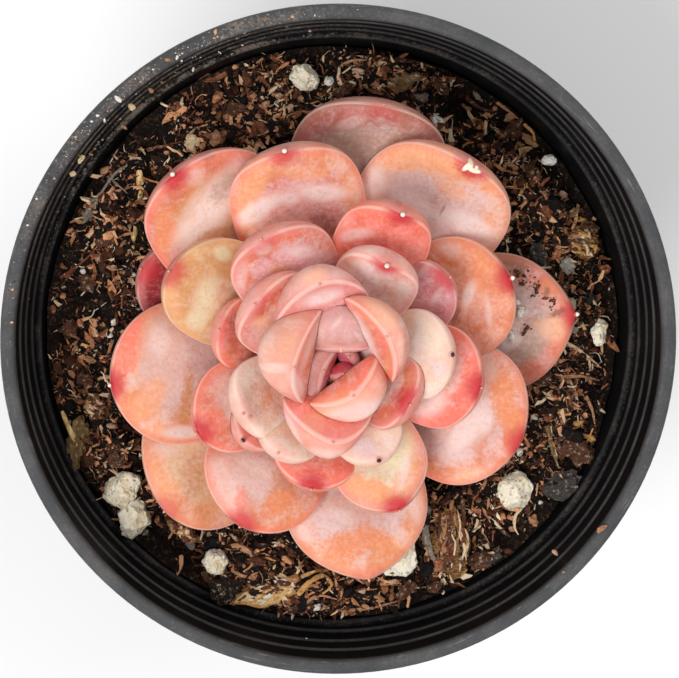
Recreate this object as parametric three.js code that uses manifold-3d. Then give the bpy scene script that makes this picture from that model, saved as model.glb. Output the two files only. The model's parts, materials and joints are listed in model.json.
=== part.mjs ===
// Potted icy laui echeveria: a plump-leaved rosette in a small black nursery pot.
// Millimetres, +Z up. The origin is the centre of the pot's base.
import * as THREE from 'three';
import { mergeVertices } from 'three/addons/utils/BufferGeometryUtils.js';
import Module from 'manifold-3d';

const wasm = await Module();
wasm.setup();

// Driving dimensions of the pot
const POT_HEIGHT = 76;
const RIM_RADIUS = 45;
const BASE_RADIUS = 31;
const POT_SIDES = 44;
const FLOOR_UNDERSIDE = 1.6;
const FLOOR_TOP = 2.6;
const FOOT_WIDTH = 3;
const WALL = 1;
const SHOULDER_DROP = 12.2;
const SHOULDER_INSET = 4.6;
const DRAIN_RADIUS = 3.25;
const DRAIN_CIRCLE = 18;
const DRAIN_COUNT = 6;
const DRAIN_SIDES = 8;

// Driving dimensions of the potting mix and what lies in it
const SOIL_LEVEL = 62.2;
const SOIL_FALL = 0.6;
const SOIL_SLOPE_X = 0.03;
const SOIL_SLOPE_Y = 0.07;
const SOIL_BUMP = 0.4;
const SOIL_SKIRT = 6;
const SOIL_RINGS = 9;
const SOIL_SECTORS = 36;
const SOIL_SMOOTHING = 0.08;
const LUMP_LIFT = 0.22;
const LUMP_KNOCK = 0.14;
const COARSE_LUMP = 3.5;
const STRAW_SIDES = 6;
const STRAW_STEPS = 6;

// Clear space between neighbouring pieces
const GAP = 0.3;

// Driving dimensions of the rosette
const ROSETTE_PLACE = new THREE.Vector3(-0.94, -1.67, 62.87);
const ROSETTE_SIZE = 0.991;
const LEAN_TO_SIDE = 1.97;
const LEAN_TO_FRONT = 0.15;
const TWIST = -0.98;
const STEM_RADIUS = 3;
const STEM_TOP = 13.5;
const STEM_DEPTH = 14;
const STEM_SIDES = 16;
const LEAF_STATIONS = 10;
const LEAF_SIDES = 10;
const LEAF_SMOOTHING = 0.13;
const LEAF_NECK = 0.25;
const LEAF_ROOT_DEPTH = 0.3;
const YOUNGEST_FOOT = 14.6;
const FOOT_STEP = 0.36;
const TIP_POINT = 0.5;

// Powers that shape a leaf: the spacing of its stations, its neck and its end
const SPACING_POWER = 0.9;
const NECK_POWER = 1.3;
const BREADTH_POWER = 2.3;
const DEPTH_POWER = 2.6;

const DEGREE = Math.PI / 180;

// Solids: a closed mesh in, a closed mesh out
function toSolid(geometry) {
  const bare = geometry.clone();
  bare.deleteAttribute('normal');
  bare.deleteAttribute('uv');
  const merged = mergeVertices(bare, 1e-4);
  return new wasm.Manifold(new wasm.Mesh({
    numProp: 3,
    vertProperties: new Float32Array(merged.attributes.position.array),
    triVerts: new Uint32Array(merged.index.array),
  }));
}

function toGeometry(solid) {
  const mesh = solid.getMesh();
  const geometry = new THREE.BufferGeometry();
  geometry.setAttribute('position', new THREE.BufferAttribute(mesh.vertProperties, 3));
  geometry.setIndex(new THREE.BufferAttribute(mesh.triVerts, 1));
  return geometry;
}

function largestPiece(solid) {
  return solid.decompose().reduce((best, piece) => (piece.volume() > best.volume() ? piece : best));
}

// A closed skin over rings of points, with a point at each end
function skinGeometry(rings, firstPoint, lastPoint) {
  const sides = rings[0].length;
  const points = [firstPoint, ...rings.flat(), lastPoint];
  const faces = [];
  const at = (ring, side) => 1 + ring * sides + (side % sides);
  const last = points.length - 1;
  for (let side = 0; side < sides; side += 1) {
    faces.push(0, at(0, side + 1), at(0, side));
    faces.push(last, at(rings.length - 1, side), at(rings.length - 1, side + 1));
  }
  for (let ring = 0; ring + 1 < rings.length; ring += 1) {
    for (let side = 0; side < sides; side += 1) {
      faces.push(at(ring, side), at(ring, side + 1), at(ring + 1, side + 1));
      faces.push(at(ring, side), at(ring + 1, side + 1), at(ring + 1, side));
    }
  }
  const places = points.flatMap((p) => [p.x, p.y, p.z]);
  const geometry = new THREE.BufferGeometry();
  geometry.setAttribute('position', new THREE.Float32BufferAttribute(places, 3));
  geometry.setIndex(faces);
  return geometry;
}

function lathe(section, sides) {
  const points = section.map(([radius, height]) => new THREE.Vector2(radius, height));
  return new THREE.LatheGeometry(points, sides).rotateX(Math.PI / 2);
}

// Pot: one shell, turned from its section. It runs from the middle of the floor's underside over
// the foot ring, up the outer wall and the hanging band of the rim, over the flat lip, down the
// three stacking ridges and the shoulder, and down the inner wall to the middle of the floor.
function potSection() {
  const top = POT_HEIGHT;
  const rim = RIM_RADIUS;
  const base = BASE_RADIUS;
  return [
    [0, FLOOR_UNDERSIDE],
    [base - FOOT_WIDTH - 0.4, FLOOR_UNDERSIDE],
    [base - FOOT_WIDTH, 0],
    [base - 0.6, 0],
    [base, 0.6],
    [rim - 3.5, top - 13.6],
    [rim - 2.75, top - 11.8],
    [rim - 2.3, top - 7.6],
    [rim - 1.55, top - 5],
    [rim - 1.45, top - 1.3],
    [rim - 0.85, top - 1.3],
    [rim - 0.85, top - 5],
    [rim, top - 5],
    [rim, top - 0.7],
    [rim - 0.2, top - 0.2],
    [rim - 0.6, top],
    [rim - 1.5, top],
    [rim - 1.85, top - 0.25],
    [rim - 2.05, top - 0.8],
    [rim - 2.15, top - 4.4],
    [rim - 2.45, top - 4.8],
    [rim - 2.7, top - 7.1],
    [rim - 3, top - 7.5],
    [rim - 3.2, top - 10],
    [rim - 3.6, top - 10.5],
    [rim - 3.8, top - 11.6],
    [rim - SHOULDER_INSET, top - SHOULDER_DROP],
    [base - WALL, FLOOR_TOP + 0.6],
    [base - WALL - 0.6, FLOOR_TOP],
    [0, FLOOR_TOP],
  ];
}

function potSolid() {
  let pot = toSolid(lathe(potSection(), POT_SIDES));
  for (let i = 0; i < DRAIN_COUNT; i += 1) {
    const angle = (i + 0.5) * (360 / DRAIN_COUNT) * DEGREE;
    const drill = new THREE.CylinderGeometry(DRAIN_RADIUS, DRAIN_RADIUS, 4, DRAIN_SIDES);
    drill.rotateX(Math.PI / 2);
    drill.translate(DRAIN_CIRCLE * Math.cos(angle), DRAIN_CIRCLE * Math.sin(angle), FLOOR_UNDERSIDE);
    pot = pot.subtract(toSolid(drill));
  }
  return pot;
}

// Potting mix: a tapered plug whose uneven top lies higher at the front and left than at the back
// and right, and falls off a little towards the wall
function soilHeight(x, y) {
  const wave = Math.sin(0.31 * x + 1.7) * Math.cos(0.27 * y - 0.6)
    + 0.7 * Math.sin(0.53 * x - 0.41 * y + 0.9)
    + 0.5 * Math.sin(0.83 * y + 0.37 * x);
  const edge = RIM_RADIUS - SHOULDER_INSET;
  const fall = SOIL_FALL * ((x * x + y * y) / (edge * edge)) + SOIL_SLOPE_X * x + SOIL_SLOPE_Y * y;
  return SOIL_LEVEL - fall + SOIL_BUMP * wave;
}

function potInnerRadius(height) {
  const low = new THREE.Vector2(BASE_RADIUS - WALL, FLOOR_TOP + 0.6);
  const high = new THREE.Vector2(RIM_RADIUS - SHOULDER_INSET, POT_HEIGHT - SHOULDER_DROP);
  return low.x + (high.x - low.x) * ((height - low.y) / (high.y - low.y));
}

function soilSolid() {
  const flatSide = Math.cos(Math.PI / POT_SIDES);
  const wall = (height) => (potInnerRadius(height) - GAP) * flatSide;
  const aroundAxis = (place) => {
    const ring = [];
    for (let i = 0; i < SOIL_SECTORS; i += 1) {
      const angle = (i / SOIL_SECTORS) * 2 * Math.PI;
      ring.push(place(Math.cos(angle), Math.sin(angle)));
    }
    return ring;
  };
  const level = (radius, height) => (
    aroundAxis((x, y) => new THREE.Vector3(radius * x, radius * y, height))
  );
  const surface = (share) => aroundAxis((x, y) => {
    const near = wall(SOIL_LEVEL);
    const radius = share * wall(soilHeight(near * x, near * y));
    return new THREE.Vector3(radius * x, radius * y, soilHeight(radius * x, radius * y));
  });
  const floor = FLOOR_TOP + GAP;
  const foot = floor + 1.2;
  const skirt = SOIL_LEVEL - SOIL_SKIRT;
  const rings = [level(wall(foot) - 1.4, floor), level(wall(foot), foot), level(wall(skirt), skirt)];
  for (let i = SOIL_RINGS; i > 0; i -= 1) {
    rings.push(surface(i / SOIL_RINGS));
  }
  const bottom = new THREE.Vector3(0, 0, floor);
  const middle = new THREE.Vector3(0, 0, soilHeight(0, 0));
  return toSolid(skinGeometry(rings, bottom, middle));
}

// The rosette stands nearly upright on its stem, a little off the pot's axis
const rosetteFrame = new THREE.Matrix4()
  .makeTranslation(ROSETTE_PLACE)
  .multiply(new THREE.Matrix4().makeRotationY(LEAN_TO_SIDE * DEGREE))
  .multiply(new THREE.Matrix4().makeRotationX(LEAN_TO_FRONT * DEGREE))
  .multiply(new THREE.Matrix4().makeRotationZ(TWIST * DEGREE))
  .scale(new THREE.Vector3(ROSETTE_SIZE, ROSETTE_SIZE, ROSETTE_SIZE));

function stemGeometry(extra) {
  const section = [
    [0, -STEM_DEPTH - extra],
    [STEM_RADIUS * 0.7 + extra, -STEM_DEPTH - extra],
    [STEM_RADIUS + extra, -STEM_DEPTH * 0.5],
    [STEM_RADIUS + extra, 2],
    [STEM_RADIUS * 0.85 + extra, STEM_TOP * 0.6],
    [STEM_RADIUS * 0.45 + extra, STEM_TOP - 0.8],
    [0, STEM_TOP + extra],
  ];
  return lathe(section, STEM_SIDES).applyMatrix4(rosetteFrame);
}

// Leaves: turn is the compass angle round the stem, reach and rise place the tip, width is the
// widest breadth, start and end are the slopes of the midrib and bow is how far it follows them,
// top and belly are the two half thicknesses, cup bends the blade across, lift raises the tip,
// shift moves it sideways, wide is where along the leaf it is broadest, and blunt is small for a
// rounder end. Keen and keel sharpen the margins from above and from below, where 1 is a full
// oval. The families and their leaves go from the youngest out, and each leaf lies over those
// that follow it.
const leafFamilies = [
  {
    name: 'heart_leaf',
    shape: { foot: 1.6, start: 60, end: 95, top: 0.8, wide: 0.7, cup: 0.1, keen: 1.2, keel: 1.35 },
    members: [
      {
        colour: 0xeeab96, turn: 31, reach: 4.7, rise: 24.6, width: 12.8,
        start: 25, end: 112, top: 0.6, belly: 4.7, lift: -4.4, slant: 2.7, shift: -1.4,
      },
      {
        colour: 0xf0b8a0, turn: 170, reach: 4.2, rise: 24.4, width: 12.6,
        start: 50, end: 98, top: 0.3, belly: 6.9, lift: -7.5, slant: -1.4, shift: 2,
      },
      {
        colour: 0xd9a0a4, turn: 90, reach: 1.4, rise: 19.2, width: 11.4,
        start: 25, end: 140, bow: 2.2, top: 2, belly: 6.4, lift: -0.7, wide: 0.72, blunt: 0.4,
      },
      {
        colour: 0xefa694, turn: 307, reach: 1.3, rise: 22, width: 11.6,
        start: 50, end: 100, belly: 5.6, lift: -3.1, slant: -0.9,
      },
      {
        colour: 0xc98488, turn: 160, reach: 0.4, rise: 18.6, width: 10,
        start: 60, end: 105, top: 0.5, belly: 3.4, lift: -3, slant: 2.7, shift: -1.2,
      },
      {
        colour: 0xeab8a4, turn: 110, reach: 8.9, rise: 23.5, width: 13,
        end: 92, belly: 5.2, lift: -3.5, shift: -0.8,
      },
      {
        colour: 0xf0ab94, turn: 260, reach: 6.6, rise: 22, width: 12,
        end: 90, belly: 5.6, lift: -4, slant: -1.1, shift: 1.8,
      },
    ],
  },
  {
    name: 'inner_leaf',
    shape: { foot: 2.2, start: 50, end: 75, top: 1.6, belly: 2.6, cup: 0.35, lift: 0.4 },
    members: [
      { colour: 0xe6c4b6, turn: 67, reach: 15.3, rise: 21, width: 11.4, end: 95 },
      { colour: 0xe4b6a2, turn: 141, reach: 14.6, rise: 20, width: 12.6, shift: 0.8 },
      { colour: 0xe6b4a2, turn: 331, reach: 11.2, rise: 19, width: 10.5 },
      { colour: 0xdccbb6, turn: 6, reach: 14.9, rise: 19, width: 12.3, end: 65, lift: 0.1 },
      { colour: 0xecc4a4, turn: 207, reach: 14.8, rise: 19, width: 11.5 },
      { colour: 0xecd2b0, turn: 236, reach: 14.4, rise: 18.5, width: 9.9, lift: 0.1 },
      { colour: 0xdcc2b6, turn: 293, reach: 13.9, rise: 18, width: 9.6, lift: 0, blunt: 0.6 },
      { colour: 0xd8a294, turn: 219.5, reach: 16.2, rise: 17, width: 8.5, lift: 0 },
    ],
  },
  {
    name: 'middle_leaf',
    shape: { foot: 2.6, start: 35, end: 55, top: 1.8, belly: 3, cup: 0.2, lift: 0 },
    members: [
      { colour: 0xe8695c, turn: 70.5, reach: 22.1, rise: 19, width: 12.7, end: 75, lift: 0.4, shift: -0.7 },
      { colour: 0xdf968e, turn: 120, reach: 19.9, rise: 19, width: 14.4, end: 65, lift: 0.2, shift: 0.9 },
      { colour: 0xe4988a, turn: 205.5, reach: 20.9, rise: 16, width: 12.4, end: 45, shift: 0.7, blunt: 0.65 },
      { colour: 0xe8bc96, turn: 293, reach: 21.7, rise: 16, width: 13.2, end: 50, blunt: 0.7 },
      { colour: 0xe6806c, turn: 350, reach: 19.5, rise: 16, width: 14.3, lift: 0.1, blunt: 0.6 },
      { colour: 0xcc7a7c, turn: 38, reach: 18.5, rise: 16, width: 11, end: 45, lift: 0.1 },
      { colour: 0xe39a78, turn: 165, reach: 17, rise: 16, width: 10.4, lift: 0.4 },
      { colour: 0xe88474, turn: 259, reach: 17.4, rise: 16, width: 12.2, blunt: 0.6 },
    ],
  },
  {
    name: 'outer_leaf',
    shape: { foot: 3, start: 10, end: 35, top: 2.2, belly: 3.6, cup: 0.1, lift: 0.1 },
    members: [
      { colour: 0xe39c84, turn: 104.5, reach: 29.7, rise: 14, width: 18.3, end: 55, lift: 0.6, shift: 0.3 },
      { colour: 0xeba880, turn: 25, reach: 25.9, rise: 12, width: 17.4, lift: 0.2 },
      { colour: 0xddb78c, turn: 151, reach: 25.4, rise: 15, width: 14.7, end: 40, shift: 0.6 },
      { colour: 0xe2a084, turn: 240, reach: 26.1, rise: 14, width: 17.4, lift: 0.2, shift: 0.3 },
      { colour: 0xeab694, turn: 335.3, reach: 28.2, rise: 12, width: 20.2, lift: 0.4, blunt: 0.6 },
      { colour: 0xe4a582, turn: 57, reach: 32.6, rise: 13, width: 21, end: 60, lift: 0.6, shift: -1.1 },
      { colour: 0xdda284, turn: 130.5, reach: 33.5, rise: 11, width: 20, end: 50, lift: 0.5, shift: 1 },
      { colour: 0xe39c78, turn: 187.5, reach: 30.4, rise: 11.5, width: 19.8, end: 30 },
      { colour: 0xdca79c, turn: 279.3, reach: 31, rise: 12, width: 19.8, blunt: 0.75 },
      { colour: 0xe4ac80, turn: 221, reach: 31.6, rise: 8, width: 20.2, shift: 1.6 },
      { colour: 0xcb9486, turn: 9, reach: 33.8, rise: 6, width: 19.6, blunt: 0.75 },
      { colour: 0xb98078, turn: 80, reach: 35.5, rise: 9, width: 21.8, end: 55, lift: 0.7 },
      { colour: 0xa84a48, turn: 157, reach: 28.9, rise: 6, width: 14, end: 40, lift: 0.4 },
    ],
  },
];

const PLAIN_LEAF = { wide: 0.62, blunt: 0.55, bow: 1, shift: 0, slant: 0, keen: 1.3, keel: 1 };
const leaves = leafFamilies.flatMap(({ name, shape, members }) => (
  members.map((member, i) => ({ name: `${name}_${i + 1}`, ...PLAIN_LEAF, ...shape, ...member }))
));

// Midrib: a cubic curve in the upright plane of the leaf, with its direction
function midrib(leaf, foot, along) {
  const from = new THREE.Vector2(leaf.foot, foot);
  const to = new THREE.Vector2(leaf.reach, leaf.rise);
  const handle = (from.distanceTo(to) / 3) * leaf.bow;
  const slope = (angle) => new THREE.Vector2(Math.cos(angle * DEGREE), Math.sin(angle * DEGREE));
  const leaving = from.clone().addScaledVector(slope(leaf.start), handle);
  const arriving = to.clone().addScaledVector(slope(leaf.end), -handle);
  const curve = new THREE.CubicBezierCurve(from, leaving, arriving, to);
  return { point: curve.getPoint(along), direction: curve.getTangent(along) };
}

// How full the leaf is along its length: it swells from the neck and closes at the tip
function fullness(leaf, along) {
  const grow = Math.min(along / leaf.wide, 1);
  const close = Math.max((along - leaf.wide) / (1 - leaf.wide), 0);
  if (close > 0) {
    return {
      close,
      breadth: Math.max(1 - close ** BREADTH_POWER, 0) ** leaf.blunt,
      depth: Math.sqrt(Math.max(1 - close ** DEPTH_POWER, 0)),
    };
  }
  return {
    close,
    breadth: LEAF_NECK + (1 - LEAF_NECK) * Math.sin((grow * Math.PI) / 2) ** NECK_POWER,
    depth: LEAF_ROOT_DEPTH + (1 - LEAF_ROOT_DEPTH) * grow ** 2,
  };
}

// A leaf's closed skin, grown by extra on every side
function leafGeometry(leaf, order, extra) {
  const foot = YOUNGEST_FOOT - FOOT_STEP * order;
  const upright = new THREE.Vector3(0, 0, 1);
  const outward = new THREE.Vector3(1, 0, 0).applyAxisAngle(upright, leaf.turn * DEGREE);
  const across = new THREE.Vector3().crossVectors(upright, outward);
  const bend = leaf.cup / (leaf.width / 2);
  const rings = [];
  let tip = null;
  for (let i = 0; i < LEAF_STATIONS; i += 1) {
    const isTip = i === LEAF_STATIONS - 1;
    const along = isTip ? 1 : Math.sin((i / (LEAF_STATIONS - 1)) * (Math.PI / 2)) ** SPACING_POWER;
    const { point, direction } = midrib(leaf, foot, along);
    const { close, breadth, depth } = fullness(leaf, along);
    const onward = outward.clone().multiplyScalar(direction.x).addScaledVector(upright, direction.y);
    const face = outward.clone().multiplyScalar(-direction.y).addScaledVector(upright, direction.x);
    const centre = outward.clone().multiplyScalar(point.x).addScaledVector(upright, point.y);
    centre.addScaledVector(across, leaf.slant * along ** 2 + leaf.shift * close ** 2);
    centre.addScaledVector(face, leaf.lift * leaf.top * close ** 2);
    if (isTip) {
      tip = centre.addScaledVector(onward, TIP_POINT + extra);
      break;
    }
    const ring = [];
    for (let side = 0; side < LEAF_SIDES; side += 1) {
      const angle = (side / LEAF_SIDES) * 2 * Math.PI;
      const x = ((leaf.width / 2) * breadth + extra) * Math.cos(angle);
      const climb = Math.sin(angle);
      const swell = extra * Math.sqrt(Math.abs(climb));
      const y = climb > 0
        ? leaf.top * depth * climb ** leaf.keen + swell
        : -leaf.belly * depth * (-climb) ** leaf.keel - swell;
      const sweep = bend * x;
      ring.push(centre.clone()
        .addScaledVector(across, Math.sin(sweep) / bend - y * Math.sin(sweep))
        .addScaledVector(face, (1 - Math.cos(sweep)) / bend + y * Math.cos(sweep)));
    }
    rings.push(ring);
  }
  const base = rings[0].reduce((sum, p) => sum.add(p), new THREE.Vector3()).divideScalar(LEAF_SIDES);
  return skinGeometry(rings, base, tip).applyMatrix4(rosetteFrame);
}

// Space that is taken so far, with the clear gap round it: each piece is cut back by it
let taken = toSolid(stemGeometry(GAP));

// Every leaf is pressed back by the stem and by the leaves that lie over it
const leafSolids = leaves.map((leaf, order) => {
  const blade = toSolid(leafGeometry(leaf, order, 0));
  const solid = largestPiece(blade.subtract(taken).simplify(LEAF_SMOOTHING));
  taken = taken.add(toSolid(leafGeometry(leaf, order, GAP)));
  return solid;
});

// Loose lumps bedded in the mix: place, size and compass turn
const lumpKinds = [
  {
    name: 'pumice_stone',
    colour: 0xd9d3c4,
    members: [
      { x: -29.8, y: -21.3, size: [6, 4.8, 4], turn: 25 },
      { x: -28, y: -25.4, size: [4.6, 6.2, 3.8], turn: -20 },
      { x: 24.8, y: -22.3, size: [5.8, 5.2, 4.6], turn: 12 },
      { x: 8.8, y: -31.3, size: [5.4, 5.8, 3.8], turn: -25 },
      { x: -4.2, y: 35, size: [5, 3.4, 3.4], turn: -50 },
      { x: -16.8, y: -31.8, size: [3.6, 4, 3.2], turn: 5 },
      { x: 36.7, y: -0.5, size: [2.4, 3.8, 2.4], turn: -8 },
    ],
  },
  {
    name: 'perlite_grain',
    colour: 0xf2f0ea,
    members: [
      { x: 29.6, y: 23.4, size: [2.4, 1.8, 1.8], turn: 10 },
      { x: 29, y: 18.3, size: [1.6, 3, 1.9], turn: -8 },
      { x: 14, y: 28.6, size: [3.2, 1.9, 1.8], turn: -35 },
      { x: -0.8, y: 34.4, size: [2, 1.7, 1.7], turn: -20 },
    ],
  },
  {
    name: 'bark_chip',
    colour: 0x9a7448,
    members: [
      { x: -6.8, y: -35.1, size: [16.5, 4.4, 2.8], turn: 18 },
      { x: 34.4, y: 12.2, size: [5.2, 4.4, 3], turn: -20 },
      { x: 15.8, y: -29.5, size: [5.4, 10, 3.6], turn: 4 },
      { x: -33.2, y: -10, size: [2.8, 4.2, 2.2], turn: 10 },
      { x: -21.2, y: -27.3, size: [5.6, 2, 1.8], turn: -35 },
    ],
  },
];
const lumps = lumpKinds.flatMap(({ name, colour, members }) => (
  members.map((member, i) => ({ name: `${name}_${i + 1}`, colour, ...member }))
));

// A fixed draw between -1 and 1 for each corner of each lump
function knock(seed, corner) {
  const value = Math.sin(seed * 127.1 + corner * 311.7) * 43758.5453;
  return (value - Math.floor(value)) * 2 - 1;
}

// A knocked-about ball of faces, sunk about a quarter of its height in the mix
function lumpGeometry(lump, seed, extra) {
  const isCoarse = Math.max(...lump.size) > COARSE_LUMP;
  const ball = isCoarse ? new THREE.DodecahedronGeometry(1) : new THREE.IcosahedronGeometry(1);
  const geometry = mergeVertices(ball.deleteAttribute('normal').deleteAttribute('uv'));
  const corners = geometry.attributes.position;
  const [halfX, halfY, halfZ] = lump.size.map((side) => side / 2 + extra);
  const corner = new THREE.Vector3();
  for (let i = 0; i < corners.count; i += 1) {
    corner.fromBufferAttribute(corners, i).multiplyScalar(1 + LUMP_KNOCK * knock(seed, i));
    corners.setXYZ(i, corner.x * halfX, corner.y * halfY, corner.z * halfZ);
  }
  const height = soilHeight(lump.x, lump.y) + lump.size[2] * LUMP_LIFT;
  return geometry.rotateZ(lump.turn * DEGREE).translate(lump.x, lump.y, height);
}

const lumpSolids = lumps.map((lump, seed) => {
  const solid = largestPiece(toSolid(lumpGeometry(lump, seed, 0)).subtract(taken));
  taken = taken.add(toSolid(lumpGeometry(lump, seed, GAP)));
  return solid;
});

// Straws lie bent along a line of places on the mix
const STRAW = 0xe0c890;
const straws = [
  { name: 'straw_1', radius: 0.45, places: [[-37.8, -10.6], [-36, -14.5], [-33.9, -16.7], [-32.4, -17.6]] },
  { name: 'straw_2', radius: 0.65, places: [[-26.9, 22.4], [-26.8, 19.6], [-27.4, 16.6], [-27.8, 12.5]] },
];

function strawGeometry(straw, extra) {
  const points = straw.places.map(([x, y]) => new THREE.Vector3(x, y, soilHeight(x, y) + straw.radius));
  const section = new THREE.Shape();
  for (let i = 0; i < STRAW_SIDES; i += 1) {
    const angle = (i / STRAW_SIDES) * 2 * Math.PI;
    const radius = straw.radius + extra;
    section[i === 0 ? 'moveTo' : 'lineTo'](radius * Math.cos(angle), radius * Math.sin(angle));
  }
  const path = new THREE.CatmullRomCurve3(points);
  return new THREE.ExtrudeGeometry(section, { steps: STRAW_STEPS, extrudePath: path, bevelEnabled: false });
}

const strawSolids = straws.map((straw) => {
  const solid = largestPiece(toSolid(strawGeometry(straw, 0)).subtract(taken));
  taken = taken.add(toSolid(strawGeometry(straw, GAP)));
  return solid;
});

// The mix is the plug less a plain hole or socket for everything that stands or lies in it
const soilPiece = largestPiece(soilSolid().subtract(taken).simplify(SOIL_SMOOTHING));

const group = new THREE.Group();

function addPiece(name, solid, colour, roughness) {
  const material = new THREE.MeshStandardMaterial({ color: colour, roughness, metalness: 0 });
  const mesh = new THREE.Mesh(toGeometry(solid), material);
  mesh.name = name;
  group.add(mesh);
}

addPiece('nursery_pot', potSolid(), 0x161618, 0.4);
addPiece('potting_mix', soilPiece, 0x2b1d14, 0.95);
addPiece('stem', toSolid(stemGeometry(0)), 0x8a7a58, 0.8);
leafSolids.forEach((solid, i) => addPiece(leaves[i].name, solid, leaves[i].colour, 0.6));
lumpSolids.forEach((solid, i) => addPiece(lumps[i].name, solid, lumps[i].colour, 0.9));
strawSolids.forEach((solid, i) => addPiece(straws[i].name, solid, STRAW, 0.8));

export default group;
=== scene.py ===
"""Looks of the potted icy laui echeveria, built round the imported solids.

Everything is in metres in the part's own frame: the origin is the centre of the pot's foot ring,
+Z is up, and +Y points away from a viewer who looks down over the pot. Shapes are worked out in
millimetres and scaled once, when their mesh is made.
"""

import json
import math
import random

import bmesh
import bpy
import numpy as np
from bpy.props import FloatProperty, FloatVectorProperty, IntProperty, PointerProperty
from mathutils import Matrix, Vector, noise
from mathutils.bvhtree import BVHTree


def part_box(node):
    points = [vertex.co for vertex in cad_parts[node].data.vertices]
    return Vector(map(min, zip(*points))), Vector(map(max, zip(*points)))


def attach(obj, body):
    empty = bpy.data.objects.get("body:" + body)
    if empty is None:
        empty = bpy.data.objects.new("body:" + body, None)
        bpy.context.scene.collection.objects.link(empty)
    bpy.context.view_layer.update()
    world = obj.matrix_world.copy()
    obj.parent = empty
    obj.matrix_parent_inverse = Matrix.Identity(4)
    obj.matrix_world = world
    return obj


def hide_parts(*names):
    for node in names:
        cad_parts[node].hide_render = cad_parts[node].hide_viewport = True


bl_info = {
    "name": "Potted Icy Laui Echeveria",
    "version": (1, 0, 0),
    "blender": (4, 5, 0),
    "location": "3D View > Sidebar > Echeveria",
    "description": "Builds the leaves, potting mix, stones, pot and stage round the packed solids",
    "category": "Add Mesh",
}

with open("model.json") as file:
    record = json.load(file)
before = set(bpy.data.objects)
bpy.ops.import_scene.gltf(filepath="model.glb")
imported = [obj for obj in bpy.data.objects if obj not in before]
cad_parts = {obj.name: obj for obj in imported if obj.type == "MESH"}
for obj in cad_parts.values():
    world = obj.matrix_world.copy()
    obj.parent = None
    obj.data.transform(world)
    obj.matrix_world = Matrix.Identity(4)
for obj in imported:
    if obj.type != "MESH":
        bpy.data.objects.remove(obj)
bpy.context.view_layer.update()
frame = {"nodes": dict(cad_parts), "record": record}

MM = 0.001
BODY = "root"

# Pot, in millimetres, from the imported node's box
POT_LOW, POT_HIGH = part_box("nursery_pot")
RIM_RADIUS = POT_HIGH.x / MM
POT_HEIGHT = POT_HIGH.z / MM
BASE_RADIUS = RIM_RADIUS - 14
FLOOR_UNDERSIDE = 1.6
FLOOR_TOP = 2.6
DRAIN_RADIUS = 3.25
DRAIN_CIRCLE = 18
DRAIN_COUNT = 6
DRAIN_SECTORS = 32
DRILL_REACH = 2

# Painted highlight lines along the stacking ridges, where their edges catch the light: height in
# millimetres, and strength
RIDGE_HIGHLIGHTS = [(71.35, 0.8), (68.65, 0.6), (65.6, 0.5), (63.9, 0.35)]

# Potting mix, in millimetres: its top slopes down to the back and to the right
SOIL_LEVEL = 62.2
SOIL_FALL = 0.6
SOIL_SLOPE_X = 0.03
SOIL_SLOPE_Y = 0.07
SOIL_BUMP = 0.4
SHOULDER_DROP = 12.2
SHOULDER_INSET = 4.6
SHOULDER_RADIUS = RIM_RADIUS - SHOULDER_INSET
WALL_GAP = 0.35
MIX_RINGS = 92
MIX_SECTORS = 230
MIX_BEVEL = 1.2
EDGE_DIP = 0.5
LEAF_CLEARANCE = 0.5
OPEN_SKY = 20.0

# Clods on the mix: how many, their height and the steps between them, in millimetres
CLODS = [(150, 0.9, 1.0), (520, 0.9, 0.8), (1900, 0.45, 0.4)]
CLOD_SINK = 1.4

# Rosette, in millimetres and degrees: it stands nearly upright, a little off the pot's axis
ROSETTE_PLACE = (-0.94, -1.67, 62.87)
ROSETTE_SIZE = 0.991
LEAN_TO_SIDE = 1.97
LEAN_TO_FRONT = 0.15
TWIST = -0.98
YOUNGEST_FOOT = 14.6
FOOT_STEP = 0.36
LEAF_NECK = 0.25
LEAF_ROOT_DEPTH = 0.3
SPACING_POWER = 0.9
NECK_POWER = 1.3
BREADTH_POWER = 2.3
DEPTH_POWER = 2.6
UNEVEN_BREADTH = 0.015
UNEVEN_HEIGHT = 0.12
NUB_STEPS = (0.0, 0.45, 0.8, 1.0)

# Meshes of a leaf and of the tool that presses the leaves under it: stations and sides
LEAF_GRID = (50, 46)
TOOL_GRID = (32, 30)
BUD_GRID = (20, 20)
BUD_TOOL_GRID = (16, 16)
PRESS_GAP = 0.07
OUTLINE_STEPS = 260
DEEPEST_EDGE = 9.0
POWDER_MARK = 0.75

# Angles, in degrees, past which two faces meet in a sharp edge
POT_CREASE = 35.0
LITTER_CREASE = 45.0
LEAF_CREASE = 50.0
ROUGH_CREASE = 60.0

# Photograph: its size, the point that the camera's axis meets and the scale at the rim, in
# pixels, and where the camera stands, in millimetres and degrees off the upright
PHOTO_WIDTH = 679
PHOTO_HEIGHT = 678
AXIS_PX = (339.7, 337.0)
RIM_RADIUS_PX = 336.3
CAMERA_DISTANCE = 330
CAMERA_PLACE = (-14.217, 46.66, 399.46)
CAMERA_TO_LEFT = 2.5
CAMERA_TO_BACK = 8
SENSOR_WIDTH = 36.0

# Stage, in millimetres: half the floor's side, and each lamp's place and share of the key power
FLOOR_REACH = 3000
LAMP_SIZE = 460
LAMPS = {"key_lamp": ((-290, -230, 650), 1.0), "fill_lamp": ((320, 300, 560), 0.34)}

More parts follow.
